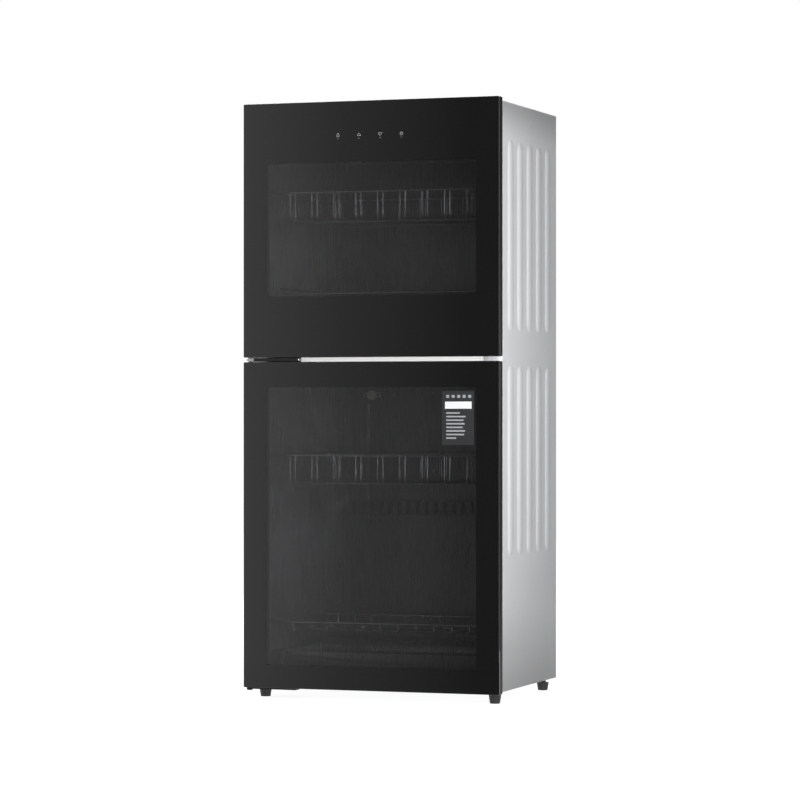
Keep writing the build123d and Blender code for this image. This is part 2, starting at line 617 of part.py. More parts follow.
# ---------------------------------------------------------------- back wall of the lower chamber
DUCT_DEPTH = 12.0
DUCT_Z = (LOW_ROOF - 215.0, LOW_ROOF - 192.0)
DUCT_HALF = CHAMBER_HALF - 20.0
HOLE = 10.7
HOLE_PITCH = 16.0
HOLE_MARGIN = 28.0          # end of the duct to its first hole
HOLE_HEIGHT = 8.0
PROBE_X = 18.0 - DUCT_HALF
CHANNEL_X = (44.0 - DUCT_HALF, 56.5 - DUCT_HALF)
CHANNEL_TOP = LOW_ROOF - 32.0
CHANNEL_DEPTH = 6.0
THERMOSTAT_X, THERMOSTAT_Z = 61.0 - DUCT_HALF, LOW_ROOF - 16.0
THERMOSTAT_R = 8.5
BOSS_SCREW = 11.0


def back_wall_fittings():
    wall = LINER_BACK
    duct = block((-DUCT_HALF, DUCT_HALF), (wall - DUCT_DEPTH, wall), DUCT_Z)
    duct = fillet(duct.edges().filter_by(Axis.X).sort_by(Axis.Y)[:2], 1.5)
    hollow_x = (-DUCT_HALF + SHEET, DUCT_HALF - SHEET)
    duct -= block(hollow_x, (wall - DUCT_DEPTH + SHEET, wall + 1), (DUCT_Z[0] + SHEET, DUCT_Z[1] - SHEET))
    middle = (DUCT_Z[0] + DUCT_Z[1]) / 2
    x = HOLE_MARGIN - DUCT_HALF
    while x + HOLE < DUCT_HALF - 8.0:
        for z in (middle - HOLE_HEIGHT - 1.0, middle + 1.0):
            duct -= block((x, x + HOLE), (wall - DUCT_DEPTH - 1, wall - DUCT_DEPTH + 2), (z, z + HOLE_HEIGHT))
        x += HOLE_PITCH

    probe = rod(2.5, (PROBE_X, wall - 7.0, DUCT_Z[1]), "z", 8.0)
    probe += block((PROBE_X - 4.0, PROBE_X + 4.0), (wall - 9.0, wall), (DUCT_Z[1], DUCT_Z[1] + 3.0))

    strips = []
    for zs in ((DUCT_Z[0] - 10.0, DUCT_Z[0]), (DUCT_Z[1], CHANNEL_TOP)):
        strip = block(CHANNEL_X, (wall - CHANNEL_DEPTH, wall), zs)
        strips.append(fillet(strip.edges().filter_by(Axis.Z).sort_by(Axis.Y)[:2], 2.0))
    channel = group(strips)

    at = (THERMOSTAT_X, wall, THERMOSTAT_Z)
    thermostat = rod(THERMOSTAT_R, (at[0], wall - 6.0, at[2]), "y", 6.0)
    thermostat = fillet(thermostat.edges().sort_by(Axis.Y)[0], 1.5)
    ears = (at[0] - BOSS_SCREW - 4.0, at[0] + BOSS_SCREW + 4.0)
    thermostat += block(ears, (wall - 1.2, wall), (at[2] - 4.0, at[2] + 4.0))

    heads = []
    places = [(at[0] - BOSS_SCREW, 1.2, at[2]), (at[0] + BOSS_SCREW, 1.2, at[2])]
    places += [(-61.0, 0.0, THERMOSTAT_Z), (7.0, 0.0, THERMOSTAT_Z + 3.0)]
    for px, off, pz in places:
        head = rod(2.3, (px, wall - off - 1.8, pz), "y", 1.8)
        heads.append(fillet(head.edges().sort_by(Axis.Y)[0], 0.8))
    return duct, probe, channel, thermostat, group(heads)


# ---------------------------------------------------------------- heaters, lamp and fan
TUBE_R = 5.0
TUBE_HALF = CHAMBER_HALF - 32.0
TUBE_Y = (LINER_BACK - 52.0, LINER_BACK - 28.0)
TUBE_Z = LOW_FLOOR + 18.0
GUARD_GAP = 12.0            # tube's middle to the guard's side wall
CAP_LENGTH = 14.0
LAMP_R = 8.0
LAMP_HALF = 120.0
LAMP_Z = UP_ROOF - 30.0
LAMP_OFF_WALL = 16.0
FAN_X, FAN_Z = 60.0, UP_FLOOR + 45.0
FAN_SIZE = 80.0
FAN_DEPTH = 20.0
FAN_BORE = 37.5
ROTOR_R = 36.0
HUB_R = 14.0
BLADES = 7
HEATER_GAP = 6.0            # fan housing to the finned heater above it
HEATER_HEIGHT = 34.0
SHAFT_R = 1.5


def quartz_heaters():
    tubes, caps = [], []
    for y in TUBE_Y:
        tubes.append(straight(TUBE_R, (-TUBE_HALF, y, TUBE_Z), (TUBE_HALF, y, TUBE_Z)))
        for side in (-1, 1):
            low, high = sorted((side * TUBE_HALF, side * (TUBE_HALF + CAP_LENGTH)))
            body = block((low, high), (y - 8.0, y + 8.0), (LOW_FLOOR, TUBE_Z + 8.0))
            caps.append(fillet(body.edges().filter_by(Axis.X).sort_by(Axis.Z)[-2:], 4.0))
    ys = (TUBE_Y[0] - GUARD_GAP, TUBE_Y[1] + GUARD_GAP)
    zs = (LOW_FLOOR, TUBE_Z + 14.0)
    span = TUBE_HALF + CAP_LENGTH + 2.0
    guard = block((-span, span), ys, zs)
    guard -= block((-span - 1, span + 1), (ys[0] + SHEET, ys[1] - SHEET), (zs[0] - 1, zs[1] - SHEET))
    for index in range(13):
        x = (index - 6) * 24.0
        slot = block((x - 8.0, x + 8.0), (ys[0] + 10.0, ys[1] - 10.0), (zs[1] - 2, zs[1] + 1))
        guard -= slot
    return group(tubes), group(caps), guard


def lamp():
    y = LINER_BACK - LAMP_OFF_WALL
    tube = straight(LAMP_R, (-LAMP_HALF, y, LAMP_Z), (LAMP_HALF, y, LAMP_Z))
    holders = []
    for side in (-1, 1):
        low, high = sorted((side * LAMP_HALF, side * (LAMP_HALF + 12.0)))
        holder = block((low, high), (y - 9.0, LINER_BACK), (LAMP_Z - 10.0, LAMP_Z + 10.0))
        holders.append(fillet(holder.edges().filter_by(Axis.X).sort_by(Axis.Y)[:2], 4.0))
    bars = []
    front = y - LAMP_R - 5.0
    lines = (LAMP_Z - 13.0, LAMP_Z, LAMP_Z + 13.0)
    for z in lines:
        bars.append(straight(1.0, (-LAMP_HALF - 20.0, front - 2.25, z), (LAMP_HALF + 20.0, front - 2.25, z)))
    for x in (-LAMP_HALF - 16.0, -40.0, 40.0, LAMP_HALF + 16.0):
        points = [(x, LINER_BACK, lines[0] - 4.0), (x, front, lines[0] - 4.0),
                  (x, front, lines[-1] + 4.0), (x, LINER_BACK, lines[-1] + 4.0)]
        bars.append(wire(points, 1.25, 3.0))
    guard = group(bars)
    return tube, group(holders), guard


def fan():
    """Frame fan behind the upper liner, its rotor, and the finned heater above it."""
    low = LINER_BACK + SHEET
    high = low + FAN_DEPTH
    half = FAN_SIZE / 2
    housing = block((FAN_X - half, FAN_X + half), (low, high), (FAN_Z - half, FAN_Z + half))
    housing = fillet(housing.edges().filter_by(Axis.Y), 5.0)
    housing -= rod(FAN_BORE, (FAN_X, low - 1, FAN_Z), "y", FAN_DEPTH - 2.0)
    for index in range(3):
        spoke = block((-4.0, 4.0), (high - 4.0, high), (-FAN_BORE - 2.0, 0.0))
        housing += Pos(FAN_X, 0, FAN_Z) * Rot(0, 120 * index, 0) * spoke
    opening = rod(FAN_BORE, (FAN_X, high - 4.0, FAN_Z), "y", 5.0) - rod(16.0, (FAN_X, high - 5.0, FAN_Z), "y", 7.0)
    for index in range(3):
        spoke = block((-4.0, 4.0), (high - 5.0, high + 2.0), (-FAN_BORE - 2.0, 0.0))
        opening -= Pos(FAN_X, 0, FAN_Z) * Rot(0, 120 * index, 0) * spoke
    housing -= opening
    shaft = rod(SHAFT_R, (FAN_X, low + 4.0, FAN_Z), "y", high - 4.0 - low)
    housing += shaft

    rotor_y = (low + 2.0, high - 4.6)
    length = rotor_y[1] - rotor_y[0]
    rotor = rod(HUB_R, (FAN_X, rotor_y[0], FAN_Z), "y", length)
    for index in range(BLADES):
        blade = block((-1.0, 1.0), (-length / 2 + 1.0, length / 2 - 1.0), (HUB_R - 1.0, ROTOR_R))
        blade = Pos(0, (rotor_y[0] + rotor_y[1]) / 2, 0) * (Rot(0, 0, 40) * blade)
        rotor += Pos(FAN_X, 0, FAN_Z) * Rot(0, 360 / BLADES * index, 0) * blade
    rotor -= rod(SHAFT_R + PIN_CLEARANCE, (FAN_X, low + 3.5, FAN_Z), "y", FAN_DEPTH)

    heater_z = FAN_Z + half + HEATER_GAP + HEATER_HEIGHT
    heater = block((FAN_X - half, FAN_X + half), (low, low + 14.0), (heater_z - HEATER_HEIGHT, heater_z))
    for index in range(9):
        z = heater_z - 5.0 - index * 3.0
        heater -= block((FAN_X - half + 5.0, FAN_X + half - 5.0), (low + 2.0, low + 15.0), (z - 1.5, z))
    return housing, rotor, heater


def liner_grille(plate):
    """Holes in the upper liner's back plate where the fan blows through."""
    for row in range(5):
        for column in range(5):
            x = FAN_X + (column - 2) * 13.0
            z = FAN_Z + (row - 2) * 13.0
            plate -= rod(4.0, (x, LINER_BACK - 1, z), "y", SHEET + 2)
    return plate


def electrics():
    floor = LOW_ROOF + SHEET
    board = block((-60.0, 60.0), (20.0, 110.0), (floor + 8.0, floor + 9.6))
    for x in (-54.0, 54.0):
        for y in (26.0, 104.0):
            board += rod(3.0, (x, y, floor), "z", 8.0)
    board += block((-40.0, -8.0), (40.0, 72.0), (floor + 9.6, floor + 33.0))
    board += block((10.0, 26.0), (40.0, 60.0), (floor + 9.6, floor + 25.0))
    board += rod(8.0, (42.0, 84.0, floor + 9.6), "z", 22.0)

    gland = rod(GLAND_R, (GLAND_X, BACK_SHEET - 3.0, GLAND_Z), "y", 4.0 + SHEET)
    gland += rod(GLAND_R + 3.0, (GLAND_X, BACK_SHEET - 3.0, GLAND_Z), "y", 3.0)
    gland -= rod(4.0, (GLAND_X, BACK_SHEET - 6.0, GLAND_Z), "y", 14.0)

    reeds = []
    for low, high in (LOW_DOOR, UP_DOOR):
        middle = (low + high) / 2
        reeds.append(block((LINER_OUT, LINER_OUT + 12.0), (FACE + SHEET, FACE + 7.0), (middle - 12.0, middle + 12.0)))
    return board, gland, reeds


def main():
    left, right, top, pan, back = casing()
    top_hinge, middle_hinge, bottom_hinge, cover, screws, top, pan = hinges(top, pan)
    cups, studs, pan = feet(pan)
    rail_top, rail_middle, rail_bottom = front_rails()
    up_wrap, up_plate = liner(UP_FLOOR, UP_ROOF)
    low_wrap, low_plate = liner(LOW_FLOOR, LOW_ROOF)
    duct, probe, channel, thermostat, liner_screws = back_wall_fittings()
    tubes, caps, guard = quartz_heaters()
    lamp_tube, lamp_holders, lamp_guard = lamp()
    housing, rotor, heater = fan()
    board, gland, reeds = electrics()
    wool_up, wool_low = insulation(reeds)
    nodes = {
        "side_panel_left": left,
        "side_panel_right": right,
        "top_cover": top,
        "base_pan": pan,
        "back_panel": back,
        "back_panel_screws": panel_screws(),
        "top_front_rail": rail_top,
        "middle_front_beam": rail_middle,
        "bottom_front_rail": rail_bottom,
        "liner_wrap_upper": up_wrap,
        "liner_back_upper": liner_grille(up_plate),
        "liner_wrap_lower": low_wrap,
        "liner_back_lower": low_plate,
        "insulation_upper": wool_up,
        "insulation_lower": wool_low,
        "hinge_bracket_top": top_hinge,
        "hinge_bracket_middle": middle_hinge,
        "hinge_bracket_bottom": bottom_hinge,
        "hinge_cover_middle": cover,
        "hinge_screws": screws,
        "foot_studs": studs,
        "rack_runners_upper": runners(((BOWL_RAIL_UP, RUNNER_SETBACK), (BASKET_SIDE, BASKET_SETBACK))),
        "rack_runners_lower": runners(((BOWL_RAIL_LOW, RUNNER_SETBACK), (PLATE_RAIL, RUNNER_SETBACK))),
        "hot_air_duct": duct,
        "liner_screws": liner_screws,
        "temperature_probe": probe,
        "cable_channel": channel,
        "thermostat": thermostat,
        "quartz_tubes": tubes,
        "heater_end_caps": caps,
        "heater_guard": guard,
        "uv_lamp_tube": lamp_tube,
        "uv_lamp_holders": lamp_holders,
        "uv_lamp_guard": lamp_guard,
        "fan_housing": housing,
        "fan_rotor": rotor,
        "finned_heater": heater,
        "power_board": board,
        "cord_gland": gland,
        "reed_switches": group(reeds),
        "bowl_rack_upper": bowl_rack(BOWL_RAIL_UP),
        "cup_basket_upper": basket(),
        "bowl_rack_lower": bowl_rack(BOWL_RAIL_LOW),
        "plate_rack_lower": plate_rack(),
        "drip_tray": drip_tray(),
    }
    nodes.update(cups)
    nodes.update(doors())
    for node, shape in nodes.items():
        save(node, shape)
    print(len(nodes), "nodes")


main()
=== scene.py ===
"""Dish sterilizer cabinet: the finished look of a two-door cabinet, 430 x 316 x 950 mm.

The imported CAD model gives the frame: each solid is already in place, in metres, with the
floor at z = 0, the doors facing -Y and +X on the right. This script gives each solid its
finish, and replaces the ones whose real form is softer or finer than a plain solid.

Formulas, in words:
- A bent wire or rim is a circle carried along a line of straight runs and round corners.
- A seal or glass edge is a profile carried round a rectangle with round corners.
- A side panel is its folded cross-section carried upwards, pushed outwards by ribs whose
  height is a parabola across the rib, a little fuller at its shoulders, with round ends.
"""
# %% [markdown]
# # Loading the frame
# The real cabinet is drawn in CAD, where every solid has its true size and place. In Blender
# the safest start is to load that model and never move it. The box that it fills is kept
# right away, because the finished look must not outgrow the real thing.

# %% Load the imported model
import json
import math

import bmesh
import bpy
import numpy as np
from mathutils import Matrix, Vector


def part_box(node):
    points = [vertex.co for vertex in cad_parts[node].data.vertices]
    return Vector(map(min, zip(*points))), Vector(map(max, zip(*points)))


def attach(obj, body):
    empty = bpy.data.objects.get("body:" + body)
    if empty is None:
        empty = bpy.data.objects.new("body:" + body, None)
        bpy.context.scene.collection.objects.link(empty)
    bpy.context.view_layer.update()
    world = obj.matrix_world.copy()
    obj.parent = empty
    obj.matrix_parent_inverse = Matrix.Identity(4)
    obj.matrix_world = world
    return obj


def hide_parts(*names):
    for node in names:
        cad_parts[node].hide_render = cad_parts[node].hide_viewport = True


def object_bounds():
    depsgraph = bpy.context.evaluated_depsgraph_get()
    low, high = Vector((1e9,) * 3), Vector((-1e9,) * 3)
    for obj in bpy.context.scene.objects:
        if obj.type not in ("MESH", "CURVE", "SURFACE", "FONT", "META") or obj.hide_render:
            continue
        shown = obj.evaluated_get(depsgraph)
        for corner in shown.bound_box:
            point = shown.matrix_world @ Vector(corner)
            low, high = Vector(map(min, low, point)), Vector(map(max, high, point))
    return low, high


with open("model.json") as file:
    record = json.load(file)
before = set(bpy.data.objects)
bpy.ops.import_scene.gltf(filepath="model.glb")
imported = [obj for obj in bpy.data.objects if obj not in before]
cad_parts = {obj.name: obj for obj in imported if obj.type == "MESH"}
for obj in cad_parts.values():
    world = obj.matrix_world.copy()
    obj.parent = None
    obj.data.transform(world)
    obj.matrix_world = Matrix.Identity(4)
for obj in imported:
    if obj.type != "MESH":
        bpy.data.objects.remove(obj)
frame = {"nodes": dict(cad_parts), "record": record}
cad_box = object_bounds()
scene = bpy.context.scene
scene.view_settings.view_transform = "Standard"
MM = 0.001
print("solids:", len(frame["nodes"]), "box:", [list(corner) for corner in cad_box])

# %% [markdown]
# # Small tools
# A real maker writes a colour as a paint code. Here a colour is a six-digit sRGB code, and
# one function turns it into the linear numbers that a shader works with. A second function
# adds one node to a material with its settings and its links, so that each finish below
# reads like a recipe.


# %% Colours and nodes
def linear(code):
    """sRGB hex to linear: divide by 12.92 near black, otherwise a 2.4 power curve."""
    values = np.array([int(code[i:i + 2], 16) for i in (1, 3, 5)]) / 255
    curved = np.where(values <= 0.04045, values / 12.92, ((values + 0.055) / 1.055) ** 2.4)
    return (*curved.tolist(), 1.0)


def add(tree, kind, settings=None, **inputs):
    """Add one node: settings are its properties, inputs are sockets or plain values."""
    node = tree.nodes.new(kind)
    for key, value in (settings or {}).items():
        setattr(node, key, value)
    for key, value in inputs.items():
        socket = node.inputs[int(key[1:])] if key[0] == "_" else node.inputs[key.replace("_", " ")]
        if isinstance(value, bpy.types.NodeSocket):
            tree.links.new(value, socket)
        else:
            socket.default_value = value
    return node


def finish(name, **inputs):
    """A new material with one Principled shader; returns (material, tree, shader)."""
    material = bpy.data.materials.new(name)
    material.use_nodes = True
    tree = material.node_tree
    shader = tree.nodes["Principled BSDF"]
    for key, value in inputs.items():
        shader.inputs[key.replace("_", " ")].default_value = value
    return material, tree, shader


def place(tree, stretch=(1, 1, 1)):
    """The point on the piece in metres, stretched where a pattern is longer one way."""
    point = add(tree, "ShaderNodeTexCoord").outputs["Object"]
    if stretch == (1, 1, 1):
        return point
    return add(tree, "ShaderNodeMapping", Vector=point, Scale=stretch).outputs[0]


def per_metre(millimetres):
    """Noise scale for grains of this size: how many of them lie in one metre."""
    return 1000.0 / millimetres


def spread(tree, value, low, high):
    """Move a 0..1 pattern to the range low..high."""
    return add(tree, "ShaderNodeMapRange", Value=value, To_Min=low, To_Max=high).outputs[0]


def two_tones(tree, value, dark, light, start=0.3, end=0.7):
    """Blend two colours by a pattern between its values start and end."""
    ramp = add(tree, "ShaderNodeValToRGB", Fac=value)
    for stop, position, code in zip(ramp.color_ramp.elements, (start, end), (dark, light)):
        stop.position, stop.color = position, linear(code)
    return ramp.outputs["Color"]


def relief(tree, shader, height, depth_mm, strength):
    """Let a pattern stand in and out of the surface by depth_mm."""
    bump = add(tree, "ShaderNodeBump", Height=height, Distance=depth_mm * MM, Strength=strength)
    tree.links.new(bump.outputs[0], shader.inputs["Normal"])


def wire_up(tree, value, shader, socket):
    """Let a pattern drive one of the shader's sockets."""
    tree.links.new(value, shader.inputs[socket])


print("tools ready")

# %% [markdown]
# # The camera
# The photograph was taken from a little to the right and level with the middle of the
# cabinet, from about five metres with a long lens, so upright edges stay parallel. The
# lens is moved up slightly instead of tilting the camera, as product photographers do.

# %% Camera
EYE = (1.7286, -4.86935, 0.4609)
TURN = math.radians(19.6)
SENSOR_MM, LENS_MM = 36.0, 143.06
LENS_UP = 0.0125                    # as a share of the picture
camera = bpy.data.objects.new("camera", bpy.data.cameras.new("camera"))
scene.collection.objects.link(camera)
scene.camera = camera
camera.location = EYE
camera.rotation_euler = (math.pi / 2, 0, TURN)
camera.data.sensor_width, camera.data.lens = SENSOR_MM, LENS_MM
camera.data.shift_y = LENS_UP
print("camera", round(math.hypot(EYE[0], EYE[1]), 2), "m away")

# %% [markdown]
# # Studio
# A catalogue photograph has a white sweep of paper below and behind the object. The floor is
# a matt pale sheet in a dim white room. Rays from the camera, and rays that come by a mirror
# or through glass, see both brighter, so that they read as white while the shadow stays soft.

# %% Floor and room
PAPER = "#9C9C9C"
FLOOR_HALF = 6.0
NEAR, FAR = 0.35, 1.3               # metres from the middle of the cabinet
SEEN_NEAR, SEEN_FAR = 0.84, 0.99    # added glow of the paper there, for rays that the eye follows
AMBIENT = 0.06                      # what the room itself gives to every surface


def seen_rays(tree):
    """1 for rays that the eye follows: direct, by a mirror, or through glass."""
    rays = add(tree, "ShaderNodeLightPath").outputs
    direct = add(tree, "ShaderNodeMath", {"operation": "MAXIMUM"},
                 _0=rays["Is Camera Ray"], _1=rays["Is Glossy Ray"]).outputs[0]
    return add(tree, "ShaderNodeMath", {"operation": "MAXIMUM"},
               _0=direct, _1=rays["Is Transmission Ray"]).outputs[0]


def stage_mesh(name, points, faces):
    """An object of the studio from its points and faces."""
    mesh = bpy.data.meshes.new(name)
    mesh.from_pydata(points, [], faces)
    obj = bpy.data.objects.new(name, mesh)
    scene.collection.objects.link(obj)
    return obj


corners = [(-FLOOR_HALF, -FLOOR_HALF, 0), (FLOOR_HALF, -FLOOR_HALF, 0),
           (FLOOR_HALF, FLOOR_HALF, 0), (-FLOOR_HALF, FLOOR_HALF, 0)]
floor = stage_mesh("studio_floor", corners, [(0, 1, 2, 3)])
paper, tree, shader = finish("matt_pale_paper", Base_Color=linear(PAPER), Roughness=0.9)
away = add(tree, "ShaderNodeVectorMath", {"operation": "LENGTH"}, _0=place(tree)).outputs["Value"]
boost = add(tree, "ShaderNodeMapRange", Value=away, From_Min=NEAR, From_Max=FAR,
            To_Min=SEEN_NEAR, To_Max=SEEN_FAR).outputs[0]
glow = add(tree, "ShaderNodeMath", {"operation": "MULTIPLY"}, _0=seen_rays(tree), _1=boost)
shader.inputs["Emission Color"].default_value = (1, 1, 1, 1)
wire_up(tree, glow.outputs[0], shader, "Emission Strength")
floor.data.materials.append(paper)

world = bpy.data.worlds.new("white_studio")
scene.world = world
world.use_nodes = True
tree = world.node_tree
sky = tree.nodes["Background"]
sky.inputs["Color"].default_value = (1, 1, 1, 1)
wire_up(tree, spread(tree, seen_rays(tree), AMBIENT, 1.0), sky, "Strength")
print("floor and room ready")

# %% [markdown]
# # Lamps
# One tall narrow lamp stands in front on the right: it grazes the side panel and so draws
# the pressed ribs. A flat strip at the height of the slot lights the beam between the doors.
# A soft one fills the left, one stands above, and one behind lights the back.

# %% Lamps
# name, spot, aim, (width, height), watts
LAMPS = [
    ("key_lamp", (0.62, -0.85, 0.58), (0.215, 0, 0.50), (0.25, 1.3), 15),
    ("strip_lamp", (0.0, -1.2, 0.541), (0, 0, 0.541), (0.9, 0.06), 6),
    ("fill_lamp", (-1.5, -1.9, 1.0), (0, 0, 0.5), (1.2, 1.2), 10),
    ("top_lamp", (-0.2, 0.2, 2.4), (0, 0, 0.5), (1.0, 1.0), 7),
    ("rear_lamp", (-0.9, 2.3, 1.3), (0, 0, 0.5), (1.4, 1.4), 34),
]


def lamp(name, spot, aim, size, watts):
    """A soft lamp of size (wide, high) at spot that points at aim, hidden from the camera."""
    light = bpy.data.lights.new(name, "AREA")
    light.shape, light.energy = "RECTANGLE", watts
    light.size, light.size_y = size
    obj = bpy.data.objects.new(name, light)
    scene.collection.objects.link(obj)
    obj.location = spot
    way = np.array(aim, float) - np.array(spot, float)
    tilt = math.acos(-way[2] / np.linalg.norm(way))
    obj.rotation_euler = (tilt, 0, math.atan2(way[1], way[0]) - math.pi / 2)
    obj.visible_camera = False
    return obj


lamps = {name: lamp(name, *rest) for name, *rest in LAMPS}
lamps["strip_lamp"].visible_glossy = False      # no mirror shows it
print("lamps:", len(lamps))

# %% [markdown]
# # Cards for the mirrors
# Polished black glass shows what it faces, so two cards are seen in mirrors only. The front
# one is white on the left, fades to dark grey where the right side of the doors looks, and
# turns white again far outside; its foot runs up to the cabinet. The dark one stands where
# the side panel looks, behind on the right.

# %% Mirror cards
FRONT_CARD = [(-0.2, 0.001), (-1.0, 0.001), (-1.0, 2.2)]        # (y, z) from its foot to its top
FRONT_WIDE = (-2.0, 2.6)                                        # x of its two ends
FRONT_TONES = [(-1.2, 1.0), (-0.25, 1.15), (0.0, 0.56), (0.25, 0.20), (0.7, 0.12), (2.0, 0.9)]
SIDE_CARD = [(0.9, 0.001), (0.9, 1.8)]
SIDE_WIDE = (0.28, 1.7)
SIDE_TONES = [(0.2, 0.12), (1.7, 0.12)]                         # (x, glow)
LEAN = 0.367                        # sideways run of the mirrored view per metre forward
BRIGHTEST = 2.0                     # a ramp holds tones up to 1, so they are shared out by this


def mirror_card(name, section, xs, tones, lean):
    """A bent card whose glow depends on x, shifted sideways with depth by lean."""
    points = [(x, y, z) for y, z in section for x in xs]
    faces = [(2 * k, 2 * k + 1, 2 * k + 3, 2 * k + 2) for k in range(len(section) - 1)]
    obj = stage_mesh(name, points, faces)
    material, tree, shader = finish(name + "_paper")
    axes = add(tree, "ShaderNodeSeparateXYZ", Vector=place(tree)).outputs
    across = add(tree, "ShaderNodeMath", {"operation": "MULTIPLY_ADD"}, _0=axes["Y"], _1=-lean,
                 _2=axes["X"]).outputs[0]
    first, last = tones[0][0], tones[-1][0]
    share = add(tree, "ShaderNodeMapRange", Value=across, From_Min=first, From_Max=last).outputs[0]
    ramp = add(tree, "ShaderNodeValToRGB", Fac=share)
    stops = ramp.color_ramp.elements
    while len(stops) < len(tones):
        stops.new(0.5)
    for stop, (x, tone) in zip(stops, tones):
        stop.position = (x - first) / (last - first)
        stop.color = (*[tone / BRIGHTEST] * 3, 1)
    glow = add(tree, "ShaderNodeEmission", Color=ramp.outputs["Color"], Strength=BRIGHTEST).outputs[0]
    wire_up(tree, glow, tree.nodes["Material Output"], "Surface")
    tree.nodes.remove(shader)
    obj.data.materials.append(material)
    obj.visible_camera = obj.visible_diffuse = obj.visible_transmission = obj.visible_shadow = False


mirror_card("front_card", FRONT_CARD, FRONT_WIDE, FRONT_TONES, LEAN)
mirror_card("side_card", SIDE_CARD, SIDE_WIDE, SIDE_TONES, 0.0)
print("mirror cards ready")

# %% [markdown]
# # Surfaces from arrays
# Every new piece is a grid of points worked out in one go: rows along one direction, columns
# along the other. Four neighbours make a face. The helpers below build such grids for bent
# wires and for profiles carried round a rectangle, and join several into one mesh.


# %% Grids to meshes
def grid_faces(rows, columns, close_rows=False, close_columns=False):
    """Faces of a grid; a closed direction also joins its last line to its first."""
    row = np.arange(rows if close_rows else rows - 1)[:, None]
    column = np.arange(columns if close_columns else columns - 1)[None, :]
    here, right = row * columns + column, row * columns + (column + 1) % columns
    below = ((row + 1) % rows) * columns
    return np.stack([here, right, below + (column + 1) % columns, below + column], -1).reshape(-1, 4)


def sheet(points, close_rows=False, close_columns=False, flip=False):
    """A grid of points (rows, columns, 3) as (vertices, faces)."""
    rows, columns = points.shape[:2]
    faces = grid_faces(rows, columns, close_rows, close_columns)
    return points.reshape(-1, 3), faces[:, ::-1] if flip else faces


def piece(name, body, parts, material, replaces=(), smooth=True, sharp=35.0):
    """Join parts into one mesh in millimetres, merge doubles, and hang it on its body."""
    starts = np.cumsum([0] + [len(part[0]) for part in parts])
    vertices = np.concatenate([part[0] for part in parts]) * MM
    faces = np.concatenate([part[1] + start for part, start in zip(parts, starts)])
    mesh = bpy.data.meshes.new(name)
    mesh.from_pydata(vertices, [], faces.tolist())
    clean(mesh)
    return dress(name, body, mesh, material, replaces, smooth, sharp)


def clean(mesh, apart=2e-6):
    """Merge points that coincide and let all faces point outwards."""
    work = bmesh.new()
    work.from_mesh(mesh)
    bmesh.ops.remove_doubles(work, verts=work.verts, dist=apart)
    bmesh.ops.dissolve_degenerate(work, edges=work.edges, dist=1e-7)
    bmesh.ops.recalc_face_normals(work, faces=work.faces)
    work.to_mesh(mesh)
    work.free()


def dress(name, body, mesh, material, replaces, smooth, sharp):
    """Put a finished mesh in the scene, on its body and with its finish."""
    if smooth:
        mesh.shade_smooth()
        mesh.set_sharp_from_angle(angle=math.radians(sharp))
    obj = bpy.data.objects.new(name, mesh)
    scene.collection.objects.link(obj)
    mesh.materials.append(material)
    if smooth:
        shading = obj.modifiers.new("flat faces lead", "WEIGHTED_NORMAL")
        shading.keep_sharp = True
    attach(obj, body)
    if replaces:
        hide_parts(*replaces)
    return obj


def bend(corners, radius, steps=6, closed=False):
    """A line through corners, each rounded by an arc that touches both of its runs."""
    corners = np.array(corners, float)
    before, after = np.roll(corners, 1, 0), np.roll(corners, -1, 0)
    line = []
    for corner, back, ahead in zip(corners, before, after):
        one, two = back - corner, ahead - corner
        one, two = one / np.linalg.norm(one), two / np.linalg.norm(two)
        half = math.acos(np.clip(one @ two, -1, 1)) / 2
        middle = corner + (one + two) / np.linalg.norm(one + two) * radius / math.sin(half)
        start, end = corner + one * radius / math.tan(half), corner + two * radius / math.tan(half)
        share = np.linspace(0, 1, steps)[:, None]
        arc = (start - middle) * (1 - share) + (end - middle) * share
        line.append(middle + arc / np.linalg.norm(arc, axis=1)[:, None] * radius)
    if not closed:
        line[0], line[-1] = corners[:1], corners[-1:]
    return np.concatenate(line)


def tube(line, radius, across, sides=8, closed=False):
    """A circle carried along line, its open ends drawn to points; line never runs along across."""
    ahead, back = np.roll(line, -1, 0), np.roll(line, 1, 0)
    if not closed:
        ahead[-1], back[0] = line[-1], line[0]
    along = ahead - back
    along /= np.linalg.norm(along, axis=1)[:, None]
    side = np.cross(along, across)
    side /= np.linalg.norm(side, axis=1)[:, None]
    up = np.cross(side, along)
    angle = np.arange(sides) * 2 * math.pi / sides
    ring = side[:, None] * np.cos(angle)[None, :, None] + up[:, None] * np.sin(angle)[None, :, None]
    points = line[:, None] + ring * radius
    if not closed:
        ends = [np.repeat(line[[i]], sides, 0)[None] for i in (0, -1)]
        points = np.concatenate([ends[0], points, ends[1]])
    return sheet(points, close_rows=closed, close_columns=True)


def round_rectangle(x, z, radius, steps):
    """Points and outward directions round an upright rectangle with round corners."""
    quarter = np.linspace(0, math.pi / 2, steps)
    turns = np.concatenate([quarter + k * math.pi / 2 for k in range(4)])
    way = np.stack([np.cos(turns), np.sin(turns)], 1)
    middles = np.array([(x[1] - radius, z[1] - radius), (x[0] + radius, z[1] - radius),
                        (x[0] + radius, z[0] + radius), (x[1] - radius, z[0] + radius)])
    return np.repeat(middles, steps, 0) + way * radius, way


def carried_round(x, z, radius, profile, steps=6):
    """Profile points (out, y) carried round a rectangle; a closed profile makes a seal."""
    line, way = round_rectangle(x, z, radius, steps)
    profile = np.array(profile, float)
    flat = line[:, None] + way[:, None] * profile[None, :, :1]
    y = np.broadcast_to(profile[None, :, 1:], flat.shape[:2] + (1,))
    return np.concatenate([flat[..., :1], y, flat[..., 1:]], -1)


def box_of(node):
    """A node's low and high corner in millimetres."""
    low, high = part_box(node)
    return np.array(low) / MM, np.array(high) / MM


